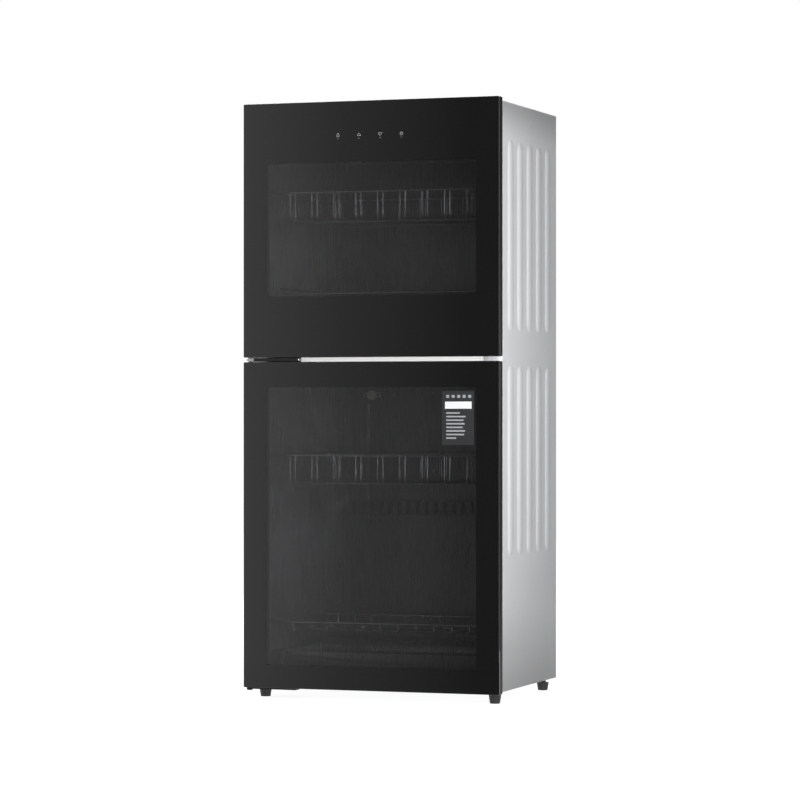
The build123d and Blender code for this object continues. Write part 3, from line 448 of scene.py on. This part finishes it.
print("surface tools ready")

# %% [markdown]
# # Sheet metal finishes
# The casing is cold-rolled steel with a baked powder coat: the powder melts into a skin with
# a very faint orange peel, half matt. The front beam is the same coat in a brighter white.
# Brackets and fixings are zinc-plated, which shows faint crystals. The chambers are lined
# with stainless steel, rolled so that fine lines run along the sheet. Metal needs no colour
# tricks: a full metallic shader, a grey base colour and a roughness with fine variation.

# %% Powder coat, zinc and stainless steel
PEEL_MM = 2.5               # drawn coarser than the real 0.5 mm peel, so that it shows
CLOUD_MM = 180              # slow change of tone over a sprayed sheet
ROLL_CLOUD_MM = 90          # the same over a rolled one


def powder_coat(name, code, shade_code):
    """Powder-coated steel: an even colour, half matt, with a faint orange peel."""
    material, tree, shader = finish(name, IOR=1.5, Specular_IOR_Level=0.15)
    point = place(tree)
    peel = add(tree, "ShaderNodeTexNoise", Vector=point, Scale=per_metre(PEEL_MM), Detail=2.0)
    cloud = add(tree, "ShaderNodeTexNoise", Vector=point, Scale=per_metre(CLOUD_MM), Detail=3.0)
    wire_up(tree, two_tones(tree, cloud.outputs[0], shade_code, code), shader, "Base Color")
    wire_up(tree, spread(tree, cloud.outputs[0], 0.44, 0.54), shader, "Roughness")
    relief(tree, shader, peel.outputs[0], 0.03, 0.5)
    return material


def brushed(name, dark, light, rough, stretch, grain_mm, depth_mm):
    """Rolled or brushed metal: noise stretched along the rolling direction."""
    material, tree, shader = finish(name, Metallic=1.0)
    lines = add(tree, "ShaderNodeTexNoise", Vector=place(tree, stretch),
                Scale=per_metre(grain_mm), Detail=4.0)
    cloud = add(tree, "ShaderNodeTexNoise", Vector=place(tree), Scale=per_metre(ROLL_CLOUD_MM), Detail=3.0)
    both = add(tree, "ShaderNodeMix", {"data_type": "FLOAT"}, _0=0.35, _2=lines.outputs[0],
               _3=cloud.outputs[0]).outputs[0]
    wire_up(tree, two_tones(tree, both, dark, light), shader, "Base Color")
    wire_up(tree, spread(tree, both, rough - 0.06, rough + 0.08), shader, "Roughness")
    relief(tree, shader, lines.outputs[0], depth_mm, 0.6)
    return material


def plated(name, dark, light, rough, crystal_mm):
    """Zinc plating: flat crystals that each reflect a little differently."""
    material, tree, shader = finish(name, Metallic=1.0)
    crystal = add(tree, "ShaderNodeTexVoronoi", Vector=place(tree), Scale=per_metre(crystal_mm))
    tone = add(tree, "ShaderNodeSeparateColor", Color=crystal.outputs["Color"]).outputs[0]
    wire_up(tree, two_tones(tree, tone, dark, light, 0.1, 0.9), shader, "Base Color")
    wire_up(tree, spread(tree, tone, rough - 0.08, rough + 0.1), shader, "Roughness")
    return material


painted_steel = powder_coat("powder_coated_steel", "#E3E4E5", "#DEDFE1")
white_beam = powder_coat("white_powder_coat", "#F7F7F6", "#F3F3F2")
zinc = plated("zinc_plated_steel", "#A6A9AD", "#C3C5C7", 0.36, 7.0)
liner_steel = brushed("rolled_stainless_steel", "#8D8F90", "#B4B5B6", 0.27, (1, 1, 0.02), 1.2, 0.004)
aluminium = brushed("extruded_aluminium", "#A9ACB0", "#C8CACC", 0.34, (1, 0.02, 1), 1.0, 0.02)
chrome = brushed("chrome_plated_wire", "#D9DBDD", "#F0F1F1", 0.24, (1, 1, 1), 3.0, 0.0)
print("metals ready")

# %% [markdown]
# # Glass
# The door panes are tempered float glass, printed black on the back round the edge, and
# smoked in the window. To the eye the border is a deep black mirror, and the window is the
# same mirror with a dim view behind it. The print is placed by Object coordinates, so it
# keeps its real width. The window is a mix: what is seen through it, darkened, and a mirror
# whose strength grows towards grazing angles, as on any smooth glass.

# %% Smoked glass with its printed border
SMOKE = "#BBBBBC"           # passed by one face of the pane; light crosses two
PRINT_EDGE_MM = 0.15


def inside(tree, value, low, high):
    """1 where low < value < high, in metres, with an edge as soft as the print's."""
    soft = PRINT_EDGE_MM * MM
    up = add(tree, "ShaderNodeMapRange", Value=value, From_Min=low - soft, From_Max=low + soft)
    down = add(tree, "ShaderNodeMapRange", Value=value, From_Min=high + soft, From_Max=high - soft)
    return add(tree, "ShaderNodeMath", {"operation": "MULTIPLY"},
               _0=up.outputs[0], _1=down.outputs[0]).outputs[0]


def mirror_share(tree, least):
    """Share of light that smooth glass reflects: least, plus the rest at grazing angles."""
    facing = add(tree, "ShaderNodeLayerWeight", Blend=0.5).outputs["Facing"]
    fifth = add(tree, "ShaderNodeMath", {"operation": "POWER"}, _0=facing, _1=5.0).outputs[0]
    return add(tree, "ShaderNodeMath", {"operation": "MULTIPLY_ADD"},
               _0=fifth, _1=1 - least, _2=least).outputs[0]


def see_through(tree, tint, gloss, least=0.04):
    """A clear wall: darkened view behind, mixed with a sharp reflection."""
    view = add(tree, "ShaderNodeBsdfTransparent", Color=linear(tint)).outputs[0]
    shine = add(tree, "ShaderNodeBsdfAnisotropic", Color=(1, 1, 1, 1), Roughness=gloss).outputs[0]
    return add(tree, "ShaderNodeMixShader", _0=mirror_share(tree, least), _1=view, _2=shine).outputs[0]


def pane_glass(name, window):
    """Black printed border and smoked window; window is (low, high) corners in metres."""
    material, tree, shader = finish(name, Base_Color=linear("#050506"), IOR=1.5)
    smear = add(tree, "ShaderNodeTexNoise", Vector=place(tree), Scale=per_metre(60), Detail=4.0)
    wire_up(tree, spread(tree, smear.outputs[0], 0.02, 0.06), shader, "Roughness")
    axes = add(tree, "ShaderNodeSeparateXYZ", Vector=place(tree)).outputs
    low, high = np.array(window, float).tolist()
    across = inside(tree, axes["X"], low[0], high[0])
    upright = inside(tree, axes["Z"], low[2], high[2])
    clear = add(tree, "ShaderNodeMath", {"operation": "MULTIPLY"}, _0=across, _1=upright).outputs[0]
    mixed = add(tree, "ShaderNodeMixShader", _0=clear, _1=shader.outputs[0],
                _2=see_through(tree, SMOKE, 0.02)).outputs[0]
    wire_up(tree, mixed, tree.nodes["Material Output"], "Surface")
    return material


def clear_glass(name, tint, gloss):
    """Thin clear or milky glass for tubes."""
    material, tree, shader = finish(name)
    wire_up(tree, see_through(tree, tint, gloss, 0.06), tree.nodes["Material Output"], "Surface")
    tree.nodes.remove(shader)
    return material


quartz = clear_glass("quartz_glass", "#E9ECEE", 0.05)
print("glass ready")

# %% [markdown]
# # Plastics, rubber, wool and ceramic
# Door frames, covers and lamp ends are moulded ABS with a fine spark-eroded grain. Seals are
# silicone rubber, softer and duller. Foot cups are black nylon. The insulation is stone
# wool, a mat of fine fibres that lie mostly along the slab. Heater ends are steatite
# ceramic. Each is a dark or pale base colour with grain from noise at its real size.

# %% Moulded and fibrous finishes
GRAIN_MM = 0.8              # spark-eroded grain, drawn at twice its size
MOULD_CLOUD_MM = 40         # slow change of gloss over a moulding
FIBRE_MM, CLUMP_MM = 2.0, 25
RASTER_MM = 2.54            # hole raster of circuit boards
BRICKS_PER_UNIT = 4         # a brick pattern of scale 1 has about this many rows to a unit


def moulded(name, dark, light, rough, grain_mm=GRAIN_MM, depth_mm=0.03, spec=0.5):
    """Moulded plastic or rubber: fine grain and faint clouds of gloss."""
    material, tree, shader = finish(name, Specular_IOR_Level=spec)
    grain = add(tree, "ShaderNodeTexNoise", Vector=place(tree), Scale=per_metre(grain_mm), Detail=3.0)
    cloud = add(tree, "ShaderNodeTexNoise", Vector=place(tree), Scale=per_metre(MOULD_CLOUD_MM), Detail=3.0)
    wire_up(tree, two_tones(tree, cloud.outputs[0], dark, light), shader, "Base Color")
    wire_up(tree, spread(tree, cloud.outputs[0], rough - 0.05, rough + 0.08), shader, "Roughness")
    relief(tree, shader, grain.outputs[0], depth_mm, 0.5)
    return material


def stone_wool(name):
    """Stone wool: long fine fibres along the slab, in clumps."""
    material, tree, shader = finish(name, Roughness=0.95, Specular_IOR_Level=0.1)
    fibres = add(tree, "ShaderNodeTexNoise", Vector=place(tree, (1, 0.15, 1)),
                 Scale=per_metre(FIBRE_MM), Detail=6.0)
    clumps = add(tree, "ShaderNodeTexNoise", Vector=place(tree), Scale=per_metre(CLUMP_MM), Detail=4.0)
    both = add(tree, "ShaderNodeMix", {"data_type": "FLOAT"}, _0=0.5, _2=fibres.outputs[0],
               _3=clumps.outputs[0]).outputs[0]
    wire_up(tree, two_tones(tree, both, "#8C8467", "#C9C09C"), shader, "Base Color")
    relief(tree, shader, fibres.outputs[0], 0.8, 0.8)
    return material


def printed_board(name):
    """Epoxy board: green lacquer over thin copper tracks on a 2.54 mm raster."""
    material, tree, shader = finish(name, Roughness=0.35)
    tracks = add(tree, "ShaderNodeTexBrick", Vector=place(tree),
                 Scale=per_metre(RASTER_MM) / BRICKS_PER_UNIT, Mortar_Size=0.04,
                 Color1=linear("#1B5A33"), Color2=linear("#1F6439"), Mortar=linear("#3E8A4C"))
    wire_up(tree, tracks.outputs["Color"], shader, "Base Color")
    relief(tree, shader, tracks.outputs["Fac"], 0.05, 0.5)
    return material


black_frame = moulded("moulded_black_abs", "#0B0B0C", "#101011", 0.5, spec=0.25)
black_plastic = moulded("black_polyamide", "#0C0C0D", "#121213", 0.5, spec=0.25)
black_foot = moulded("black_nylon", "#121213", "#1A1A1B", 0.42, 1.2)
white_plastic = moulded("white_polyamide", "#E9E9E6", "#F1F1EF", 0.4)
seal_rubber = moulded("black_silicone_rubber", "#1A1A1B", "#232325", 0.7, 0.6, 0.02, 0.3)
ceramic = moulded("steatite_ceramic", "#E3DDCF", "#EFEAE0", 0.32, 1.0, 0.02)
magnet = moulded("sintered_magnet", "#3A3B3E", "#4A4B4E", 0.4, 0.6)
wool = stone_wool("stone_wool")
board = printed_board("epoxy_circuit_board")
print("plastics ready")

# %% [markdown]
# # A finish for every solid
# Each CAD solid names the stuff that it is made of, and gets the matching finish. Solids
# with round surfaces come as loose flat triangles: a copy of each is merged and shaded
# smooth, with edges kept sharp where two faces meet at a clear angle. Large flat faces
# get more say in the shading, so small round edges don't smear over them.

# %% Finishes by material slot
FINISHES = {
    "painted_steel": painted_steel, "white_beam": white_beam, "zinc_steel": zinc,
    "liner_steel": liner_steel, "black_frame": black_frame, "seal_rubber": seal_rubber,
    "chromed_wire": chrome, "black_foot": black_foot, "mineral_wool": wool, "quartz": quartz,
    "ceramic": ceramic, "circuit_board": board, "aluminium": aluminium,
    "black_plastic": black_plastic, "magnet": magnet, "white_plastic": white_plastic,
}
slot_of = {part["node"]: part["material_slot"] for part in frame["record"]["subparts"]}
body_of = {node: name for name, nodes in frame["record"]["behaviour"]["bodies"].items() for node in nodes}

for node, obj in frame["nodes"].items():
    if slot_of[node] in FINISHES:
        obj.data.materials.clear()
        obj.data.materials.append(FINISHES[slot_of[node]])
print("finished solids:", len(frame["nodes"]))

# %% Smooth copies of the solids with round surfaces
ROUND_NODES = [
    "foot_studs", "hinge_bracket_top", "hinge_bracket_middle", "hinge_bracket_bottom",
    "hinge_cover_middle", "hinge_screws", "back_panel_screws", "liner_screws",
    "temperature_probe", "thermostat", "cable_channel", "hot_air_duct", "quartz_tubes",
    "heater_end_caps", "uv_lamp_tube", "uv_lamp_holders", "fan_housing",
    "fan_rotor", "cord_gland", "power_board", "drip_tray", "door_frame_upper",
    "door_frame_lower", "hinge_bushes_upper", "hinge_bushes_lower", "top_cover", "base_pan",
    "back_panel", "liner_back_upper",
]
SHARP_DEGREES = 32.0                # faces that meet at more than this keep their edge


def smooth_copy(node):
    """Merge a copy of a solid's triangles and shade it smooth between its sharp edges."""
    mesh = frame["nodes"][node].data.copy()
    clean(mesh)
    mesh.materials.clear()
    slot = slot_of[node]
    return dress(node + "_smooth", body_of[node], mesh, FINISHES[slot], [node], True, SHARP_DEGREES)


smooth_copies = [smooth_copy(node) for node in ROUND_NODES]
print("smooth copies:", len(smooth_copies))

# %% [markdown]
# # Side panels
# A side panel is one sheet, folded at its front and back edges, with five upright ribs
# pressed outwards in two groups. The press leaves soft shoulders, which catch the light on
# their front half and shade on their back half. The folded cross-section is a line in plan;
# carried upwards it is a grid, and each point is pushed outwards by the height of the rib
# there. Solidify then gives the sheet its thickness inwards.

# %% Side panels with pressed ribs
SHEET = 1.0
RIB_HEIGHT, RIB_WIDTH, RIB_PITCH, RIB_COUNT = 2.0, 30.0, 50.0, 5
RIB_FIRST = 45.0                    # front edge of the panel to the middle of the first rib
RIB_LENGTH, RIB_GAP = 300.5, 55.0
RIB_TOP = 63.5                      # top edge of the doors to the upper group
FOLD = 3.0                          # outer radius of the folded edges
FRONT_FLANGE, BACK_FLANGE = 29.0, 16.0
ACROSS_STEP, END_ROWS = 1.25, 14    # how fine the grid is across, and at each end of a group

low, high = box_of("side_panel_right")
FLAT = high[0] - RIB_HEIGHT         # the panel's flat face
upper_end = round(cad_box[1][2] / MM, 1) - RIB_TOP
ends = [upper_end - k * (RIB_LENGTH + RIB_GAP) for k in (1, 0)]
RIB_GROUPS = [(end - RIB_LENGTH, end) for end in ends]          # lower group, upper group


def rib_height(y, z):
    """A parabola of the distance to the rib's middle line, a little fuller at its shoulders."""
    total = np.zeros(np.broadcast(y, z).shape)
    half = RIB_WIDTH / 2
    for centre in low[1] + RIB_FIRST + RIB_PITCH * np.arange(RIB_COUNT):
        for start, end in RIB_GROUPS:
            past = np.maximum(np.maximum(start + half - z, z - (end - half)), 0)
            reach = np.clip(np.hypot(y - centre, past) / half, 0, 1)
            hump = (1 - reach ** 2) * (1 + 0.35 * reach ** 2)
            total = np.maximum(total, RIB_HEIGHT * hump)
    return total


def side_panel(node, side):
    """Folded section carried from the base to the top, pushed out by the ribs."""
    front, rear = low[1], high[1]
    fold = np.linspace(0, math.pi / 2, 6)
    front_x = np.concatenate([[FLAT - FRONT_FLANGE], FLAT - FOLD + FOLD * np.sin(fold)])
    front_y = np.concatenate([[front], front + FOLD - FOLD * np.cos(fold)])
    middle = np.arange(front + FOLD + 1.0, rear - FOLD - 0.5, ACROSS_STEP)
    rear_x = np.concatenate([FLAT - FOLD + FOLD * np.cos(fold), [FLAT - BACK_FLANGE]])
    rear_y = np.concatenate([rear - FOLD + FOLD * np.sin(fold), [rear]])
    x = np.concatenate([front_x, np.full(len(middle), FLAT), rear_x])
    y = np.concatenate([front_y, middle, rear_y])
    round_end = RIB_WIDTH / 2 + 1
    rows = [np.linspace(edge, edge + way * round_end, END_ROWS)
            for group in RIB_GROUPS for edge, way in zip(group, (1, -1))]
    z = np.sort(np.concatenate([[low[2]], *rows, [high[2]]]))
    pushed = x[None, :] + np.where(x == FLAT, rib_height(y[None, :], z[:, None]), 0)
    points = np.stack([side * pushed, np.broadcast_to(y, pushed.shape),
                       np.broadcast_to(z[:, None], pushed.shape)], -1)
    vertices, faces = sheet(points, flip=side < 0)
    mesh = bpy.data.meshes.new(node + "_pressed")
    mesh.from_pydata(vertices * MM, [], faces.tolist())
    obj = dress(node + "_pressed", "cabinet", mesh, painted_steel, [node], True, 40.0)
    wall = obj.modifiers.new("sheet", "SOLIDIFY")
    wall.thickness, wall.offset = SHEET * MM, -1
    return obj


panels = [side_panel("side_panel_right", 1), side_panel("side_panel_left", -1)]
print("side panels:", [len(panel.data.polygons) for panel in panels], "faces")

# %% [markdown]
# # Door panes and seals
# A tempered pane has ground and polished edges, so its rim is a small round, not a knife
# edge. The rim's profile is carried round the door's rectangle, and the flat faces close
# it. The seal behind the frame is extruded silicone with two soft lips and a groove; its
# profile is carried round the same way, as a closed loop.

# %% Panes and seals
PANE_CORNER = 2.0
POLISH = 0.7                        # radius of the polished edge
WINDOW_SIDE = 38.0                  # printed border at the left and right
WINDOW_BORDERS = {"upper": (97.1, 96.3), "lower": (37.6, 40.4)}     # (below, above) the window


def pane(which):
    """Rim profile from the middle of the front face, round the edge, to the middle of the back."""
    node = "door_glass_" + which
    low, high = box_of(node)
    arc = np.linspace(0, math.pi / 2, 4)
    front = np.stack([-POLISH + POLISH * np.sin(arc), low[1] + POLISH - POLISH * np.cos(arc)], 1)
    back = np.stack([-POLISH + POLISH * np.cos(arc), high[1] - POLISH + POLISH * np.sin(arc)], 1)
    rim = np.concatenate([front, back])
    ring = carried_round((low[0], high[0]), (low[2], high[2]), PANE_CORNER, rim)
    middle = (low + high) / 2
    caps = [np.tile([middle[0], y, middle[2]], (len(ring), 1, 1)) for y in (low[1], high[1])]
    grid = np.concatenate([caps[0], ring, caps[1]], 1)
    below, above = WINDOW_BORDERS[which]
    window = ((low + (WINDOW_SIDE, 0, below)) * MM, (high - (WINDOW_SIDE, 0, above)) * MM)
    glass = pane_glass("smoked_glass_" + which, window)
    return piece("door_pane_" + which, which + "_door",
                 [sheet(grid, close_rows=True)], glass, [node], sharp=50.0)


SEAL_WIDTH, SEAL_CORNER = 12.0, 14.0
# (inwards, share of the depth): foot, first lip, groove, second lip, foot
LIP = [(0, 0), (0, 0.2), (1.4, 0.3), (2.0, 0.72), (3.0, 0.95), (4.4, 1.0), (5.5, 0.84)]
SEAL_PROFILE = LIP + [(6.0, 0.6)] + [(SEAL_WIDTH - inwards, share) for inwards, share in LIP[::-1]]


def seal(which):
    """Two-lipped seal profile carried round the gasket's rectangle."""
    node = "door_gasket_" + which
    low, high = box_of(node)
    profile = [(-inwards, low[1] + share * (high[1] - low[1])) for inwards, share in SEAL_PROFILE]
    ring = carried_round((low[0], high[0]), (low[2], high[2]), SEAL_CORNER, profile, 8)
    return piece("door_seal_" + which, which + "_door",
                 [sheet(ring, close_rows=True, close_columns=True)], seal_rubber, [node], sharp=60.0)


panes = [pane(which) for which in WINDOW_BORDERS]
seals = [seal(which) for which in WINDOW_BORDERS]
print("panes and seals:", len(panes) + len(seals))

# %% [markdown]
# # Wire racks
# The racks are bent from steel wire, spot-welded and chromed. Each wire is a circle carried
# along a line with round corners. Where a cross wire meets the rim they sink into each other
# a little, as welded wires do.

# %% Wires of the racks
RIM_R, WIRE_R = 2.0, 1.4
RIM_CORNER = 14.0
RIM_SIDES, WIRE_SIDES = 12, 10
ACROSS_X, ACROSS_Z = (1.0, 0.0, 0.0), (0.0, 0.0, 1.0)
SUNK = 0.4                          # welded wires sink into each other by this


def rim_of(node):
    """The middle line of a rack's rim: (x half, front y, back y, rail z)."""
    low, high = box_of(node)
    return high[0] - RIM_R, low[1] + RIM_R, high[1] - RIM_R, high[2] - RIM_R


def rim(corners, radius, steps):
    """The thick wire, closed on itself, bent round the corners."""
    return tube(bend(corners, radius, steps, closed=True), RIM_R, ACROSS_Z, RIM_SIDES, closed=True)


def spaced(count, pitch):
    """Places of count wires, pitch apart, in the middle of the rack."""
    return (np.arange(count) - (count - 1) / 2) * pitch


def cross_rods(half, front, back, z, inset):
    """The two straight rods under the cross wires, inset from the rim."""
    return [tube(np.array([(-half + RIM_CORNER, y, z), (half - RIM_CORNER, y, z)]), WIRE_R,
                 ACROSS_Z, WIRE_SIDES) for y in (front + inset, back - inset)]


def cross_wire(corners, radius):
    """One thin wire in an upright plane, bent round the corners."""
    return tube(bend(corners, radius, 5), WIRE_R, ACROSS_X, WIRE_SIDES)


def chromed(name, node, parts):
    """The wires of one rack as one piece."""
    return piece(name, node, parts, chrome, [node], sharp=60.0)


print("wire of", 2 * RIM_R, "and", 2 * WIRE_R, "mm")

# %% Hanging racks, plate rack and flat basket
BOWL_DROP, BOWL_PITCH, BOWL_PAIRS, PAIR_SPACING = 43.0, 37.5, 9, 9.0
BOWL_INSET, BOWL_RISE, BOWL_BEND, BOWL_RODS = 1.5, 0.5, 8.0, 45.0
PLATE_DROP, PLATE_PITCH, PLATE_WIRES = 13.0, 30.0, 11
PLATE_INSET, PLATE_RISE, PLATE_BEND, PLATE_RODS = RIM_R, 0.0, 5.0, 60.0
BASKET_PITCH, BASKET_WIRES, BASKET_STEP, BASKET_CORNER = 36.7, 9, 10.0, 12.0
BASKET_BEND, BASKET_RODS = 6.0, 60.0
HOOK_OUT, HOOK_DOWN, HOOK_UP, HOOK_BEND = 1.0, 4.0, 1.0, 2.0    # ends of the basket's wires


def hung_rack(name, node, xs, drop, inset, rise, bend_radius, rods):
    """A flat rim, and at each x a U of wire from its front to its back, drop below it."""
    half, front, back, rail = rim_of(node)
    low, top = rail - drop, rail + rise
    near, far = front + inset, back - inset
    corners = [(-half, front, rail), (half, front, rail), (half, back, rail), (-half, back, rail)]
    parts = [rim(corners, RIM_CORNER, 8)]
    parts += [cross_wire([(x, near, top), (x, near, low), (x, far, low), (x, far, top)], bend_radius)
              for x in xs]
    parts += cross_rods(half, front, back, low - 2 * WIRE_R + SUNK, rods)
    return chromed(name, node, parts)


def bowl_rack(name, node):
    """Pairs of wires: the middles of the pairs are evenly spaced."""
    xs = (spaced(BOWL_PAIRS, BOWL_PITCH)[:, None] + np.array([-0.5, 0.5]) * PAIR_SPACING).ravel()
    return hung_rack(name, node, xs, BOWL_DROP, BOWL_INSET, BOWL_RISE, BOWL_BEND, BOWL_RODS)


def plate_rack(name, node):
    """Single wires, evenly spaced, close under the rim."""
    return hung_rack(name, node, spaced(PLATE_WIRES, PLATE_PITCH), PLATE_DROP, PLATE_INSET,
                     PLATE_RISE, PLATE_BEND, PLATE_RODS)


def basket(name, node):
    """A rim that steps down at the front, and wires that run under it and up at the back."""
    half, front, back, rail = rim_of(node)
    lower, inner = rail - BASKET_STEP, half - BASKET_CORNER
    corners = [(-inner, front, lower), (inner, front, lower), (half, front + BASKET_CORNER, rail),
               (half, back, rail), (-half, back, rail), (-half, front + BASKET_CORNER, rail)]
    parts = [rim(corners, BASKET_BEND, 6)]
    low = lower - RIM_R - WIRE_R + SUNK
    tip, far = front - HOOK_OUT, back - RIM_R
    parts += [cross_wire([(x, tip, low - HOOK_DOWN), (x, tip, low), (x, far, low),
                          (x, far, rail + HOOK_UP)], HOOK_BEND) for x in spaced(BASKET_WIRES, BASKET_PITCH)]
    parts += cross_rods(half, front, back, low - 2 * WIRE_R + SUNK, BASKET_RODS)
    return chromed(name, node, parts)


racks = [bowl_rack("upper_hanging_rack", "bowl_rack_upper"),
         bowl_rack("lower_hanging_rack", "bowl_rack_lower"),
         basket("flat_cup_basket", "cup_basket_upper"),
         plate_rack("lower_plate_rack", "plate_rack_lower")]
print("rack faces:", [len(rack.data.polygons) for rack in racks])

# %% [markdown]
# # Touch marks and the information film
# Four small marks are printed near the top of the upper door: a drop, a dome, a cup and a
# switch sign, each with a short dash below it. Printed marks are paint a few hundredths of a
# millimetre thick, so each stroke is a flat oval carried along its line. A dark film with a
# blank pale band and plain bars sits in the top right corner of the lower window. It is
# left without lettering.

# %% Printed marks
print_ink = moulded("pale_screen_ink", "#8E9092", "#999B9D", 0.5, 0.3, 0.0)
MARK_DROP, MARK_PITCH = 53.8, 35.6  # below the door's top edge, and apart
MARK_SCALE = np.array([0.82, 1.0, 0.82])    # the marks are drawn a little large below
MARK_INK, DASH_INK = 0.34, 0.22     # half the width of a stroke
DASH_HALF, DASH_Z = 1.6, -7.0
INK_LIFT = 0.03                     # thickness of the paint over the glass
door_low, door_high = box_of("door_glass_upper")
GLASS_FRONT, MARK_Z = door_low[1], door_high[2] - MARK_DROP


def stroke(x, z, half=MARK_INK, closed=False):
    """A tube carried along a line on the glass and pressed to a flat oval."""
    line = np.stack([x, np.zeros(len(x)), z], 1)
    vertices, faces = tube(line, half, (0.0, 1.0, 0.0), 8, closed)
    return vertices * (1, INK_LIFT / half, 1), faces


def arc(centre, radius, start, end, steps=20):
    """Points on a circle from start to end, in turns, anticlockwise from the right."""
    angle = np.linspace(start, end, steps) * 2 * math.pi
    return centre[0] + radius * np.cos(angle), centre[1] + radius * np.sin(angle)


def drop_mark():
    """A circle whose upper half is drawn up and in by the cube of its height."""
    turn = np.linspace(0, 1, 28, endpoint=False) * 2 * math.pi
    lift = np.maximum(np.sin(turn), 0) ** 3
    x, z = 2.5 * np.cos(turn) * (1 - 0.55 * lift), 2.5 * np.sin(turn) + 2.2 * lift - 0.6
    return [stroke(x, z, closed=True)]


def dome_mark():
    """Half a circle on a straight line, with a small ring on top."""
    left, right = np.array([-3.6, 3.6]), np.array([-1.8, -1.8])
    return [stroke(*arc((0, -1.4), 3.1, 0, 0.5)), stroke(left, right),
            stroke(*arc((0, 2.4), 0.5, 0, 1, 10))]


def cup_mark():
    """The outline of a round-footed cup under a straight line."""
    x = np.array([-3.4, -2.6, -1.4, 1.4, 2.6, 3.4])
    z = np.array([2.2, -0.4, -2.2, -2.2, -0.4, 2.2])
    return [stroke(x, z), stroke(x[[0, -1]] * 1.15, z[[0, -1]])]


def switch_mark():
    """A ring open at the top, with an upright line in the opening."""
    return [stroke(*arc((0, -0.3), 2.8, 0.32, 1.18, 26)), stroke(np.zeros(2), np.array([0.4, 3.2]))]


MARKS = (drop_mark, dome_mark, cup_mark, switch_mark)
for x, mark in zip(spaced(len(MARKS), MARK_PITCH), MARKS):
    dash = stroke(np.array([-DASH_HALF, DASH_HALF]), np.full(2, DASH_Z), DASH_INK)
    parts = [(vertices * MARK_SCALE + (x, GLASS_FRONT, MARK_Z), faces)
             for vertices, faces in mark() + [dash]]
    piece(mark.__name__, "upper_door", parts, print_ink, sharp=80.0)
print("printed marks:", len(MARKS))

# %% Information film
FILM_RIGHT, FILM_LEFT = 41.4, 94.2          # from the door's right edge
FILM_Z = (406.0, 491.0)
LAYER = 0.02                                # each printed layer stands this proud
FILM_SINK = 0.2                             # the film's back lies this deep in the glass
BAND_SIDES, BAND_DOWN = (5.0, 4.0), (17.0, 28.0)
MARGIN = 7.0                                # left edge of the film to bars and squares
SQUARES, SQUARE, SQUARE_PITCH, SQUARE_DOWN = 5, 5.0, 9.0, (6.5, 11.0)
BAR_SHARES = (0.55, 0.78, 0.7, 0.74, 0.66, 0.76, 0.72, 0.4)     # of the longest bar
BARS_LESS = 12.0                            # the longest bar is shorter than the film by this
BAR_DOWN, BAR_HEIGHT, BAR_PITCH = 33.6, 2.4, 5.6
film_paper = moulded("dark_label_film", "#161718", "#1B1C1D", 0.4, 0.5, 0.0)
band_ink = moulded("pale_label_band", "#B4B6B8", "#BCBEC0", 0.5, 0.5, 0.0)
bar_ink = moulded("grey_label_ink", "#77797C", "#808285", 0.5, 0.5, 0.0)


def slab(x, z, layer):
    """A thin closed slab on the glass, its outer face layer * LAYER proud."""
    front = GLASS_FRONT - layer * LAYER
    ring = [(x[0], z[0]), (x[1], z[0]), (x[1], z[1]), (x[0], z[1])]
    points = [(px, y, pz) for y in (front, GLASS_FRONT + FILM_SINK) for px, pz in ring]
    faces = [(0, 1, 2, 3), (7, 6, 5, 4), (0, 4, 5, 1), (1, 5, 6, 2), (2, 6, 7, 3), (3, 7, 4, 0)]
    return np.array(points), np.array(faces)


def printed(start, end, down):
    """A slab on the film, from start to end across and between two distances below its top."""
    return slab((film_x[0] + start, film_x[0] + end), (FILM_Z[1] - down[1], FILM_Z[1] - down[0]), 2)


right = box_of("door_glass_lower")[1][0]
film_x = (right - FILM_LEFT, right - FILM_RIGHT)
wide = film_x[1] - film_x[0]
piece("information_film", "lower_door", [slab(film_x, FILM_Z, 1)], film_paper,
      smooth=False)
piece("information_film_band", "lower_door",
      [printed(BAND_SIDES[0], wide - BAND_SIDES[1], BAND_DOWN)], band_ink, smooth=False)
tops = BAR_DOWN + BAR_PITCH * np.arange(len(BAR_SHARES))
bars = [printed(MARGIN, MARGIN + share * (wide - BARS_LESS), (top, top + BAR_HEIGHT))
        for share, top in zip(BAR_SHARES, tops)]
bars += [printed(start, start + SQUARE, SQUARE_DOWN)
         for start in MARGIN + SQUARE_PITCH * np.arange(SQUARES)]
piece("information_film_bars", "lower_door", bars, bar_ink, smooth=False)
print("information film:", len(bars), "bars")
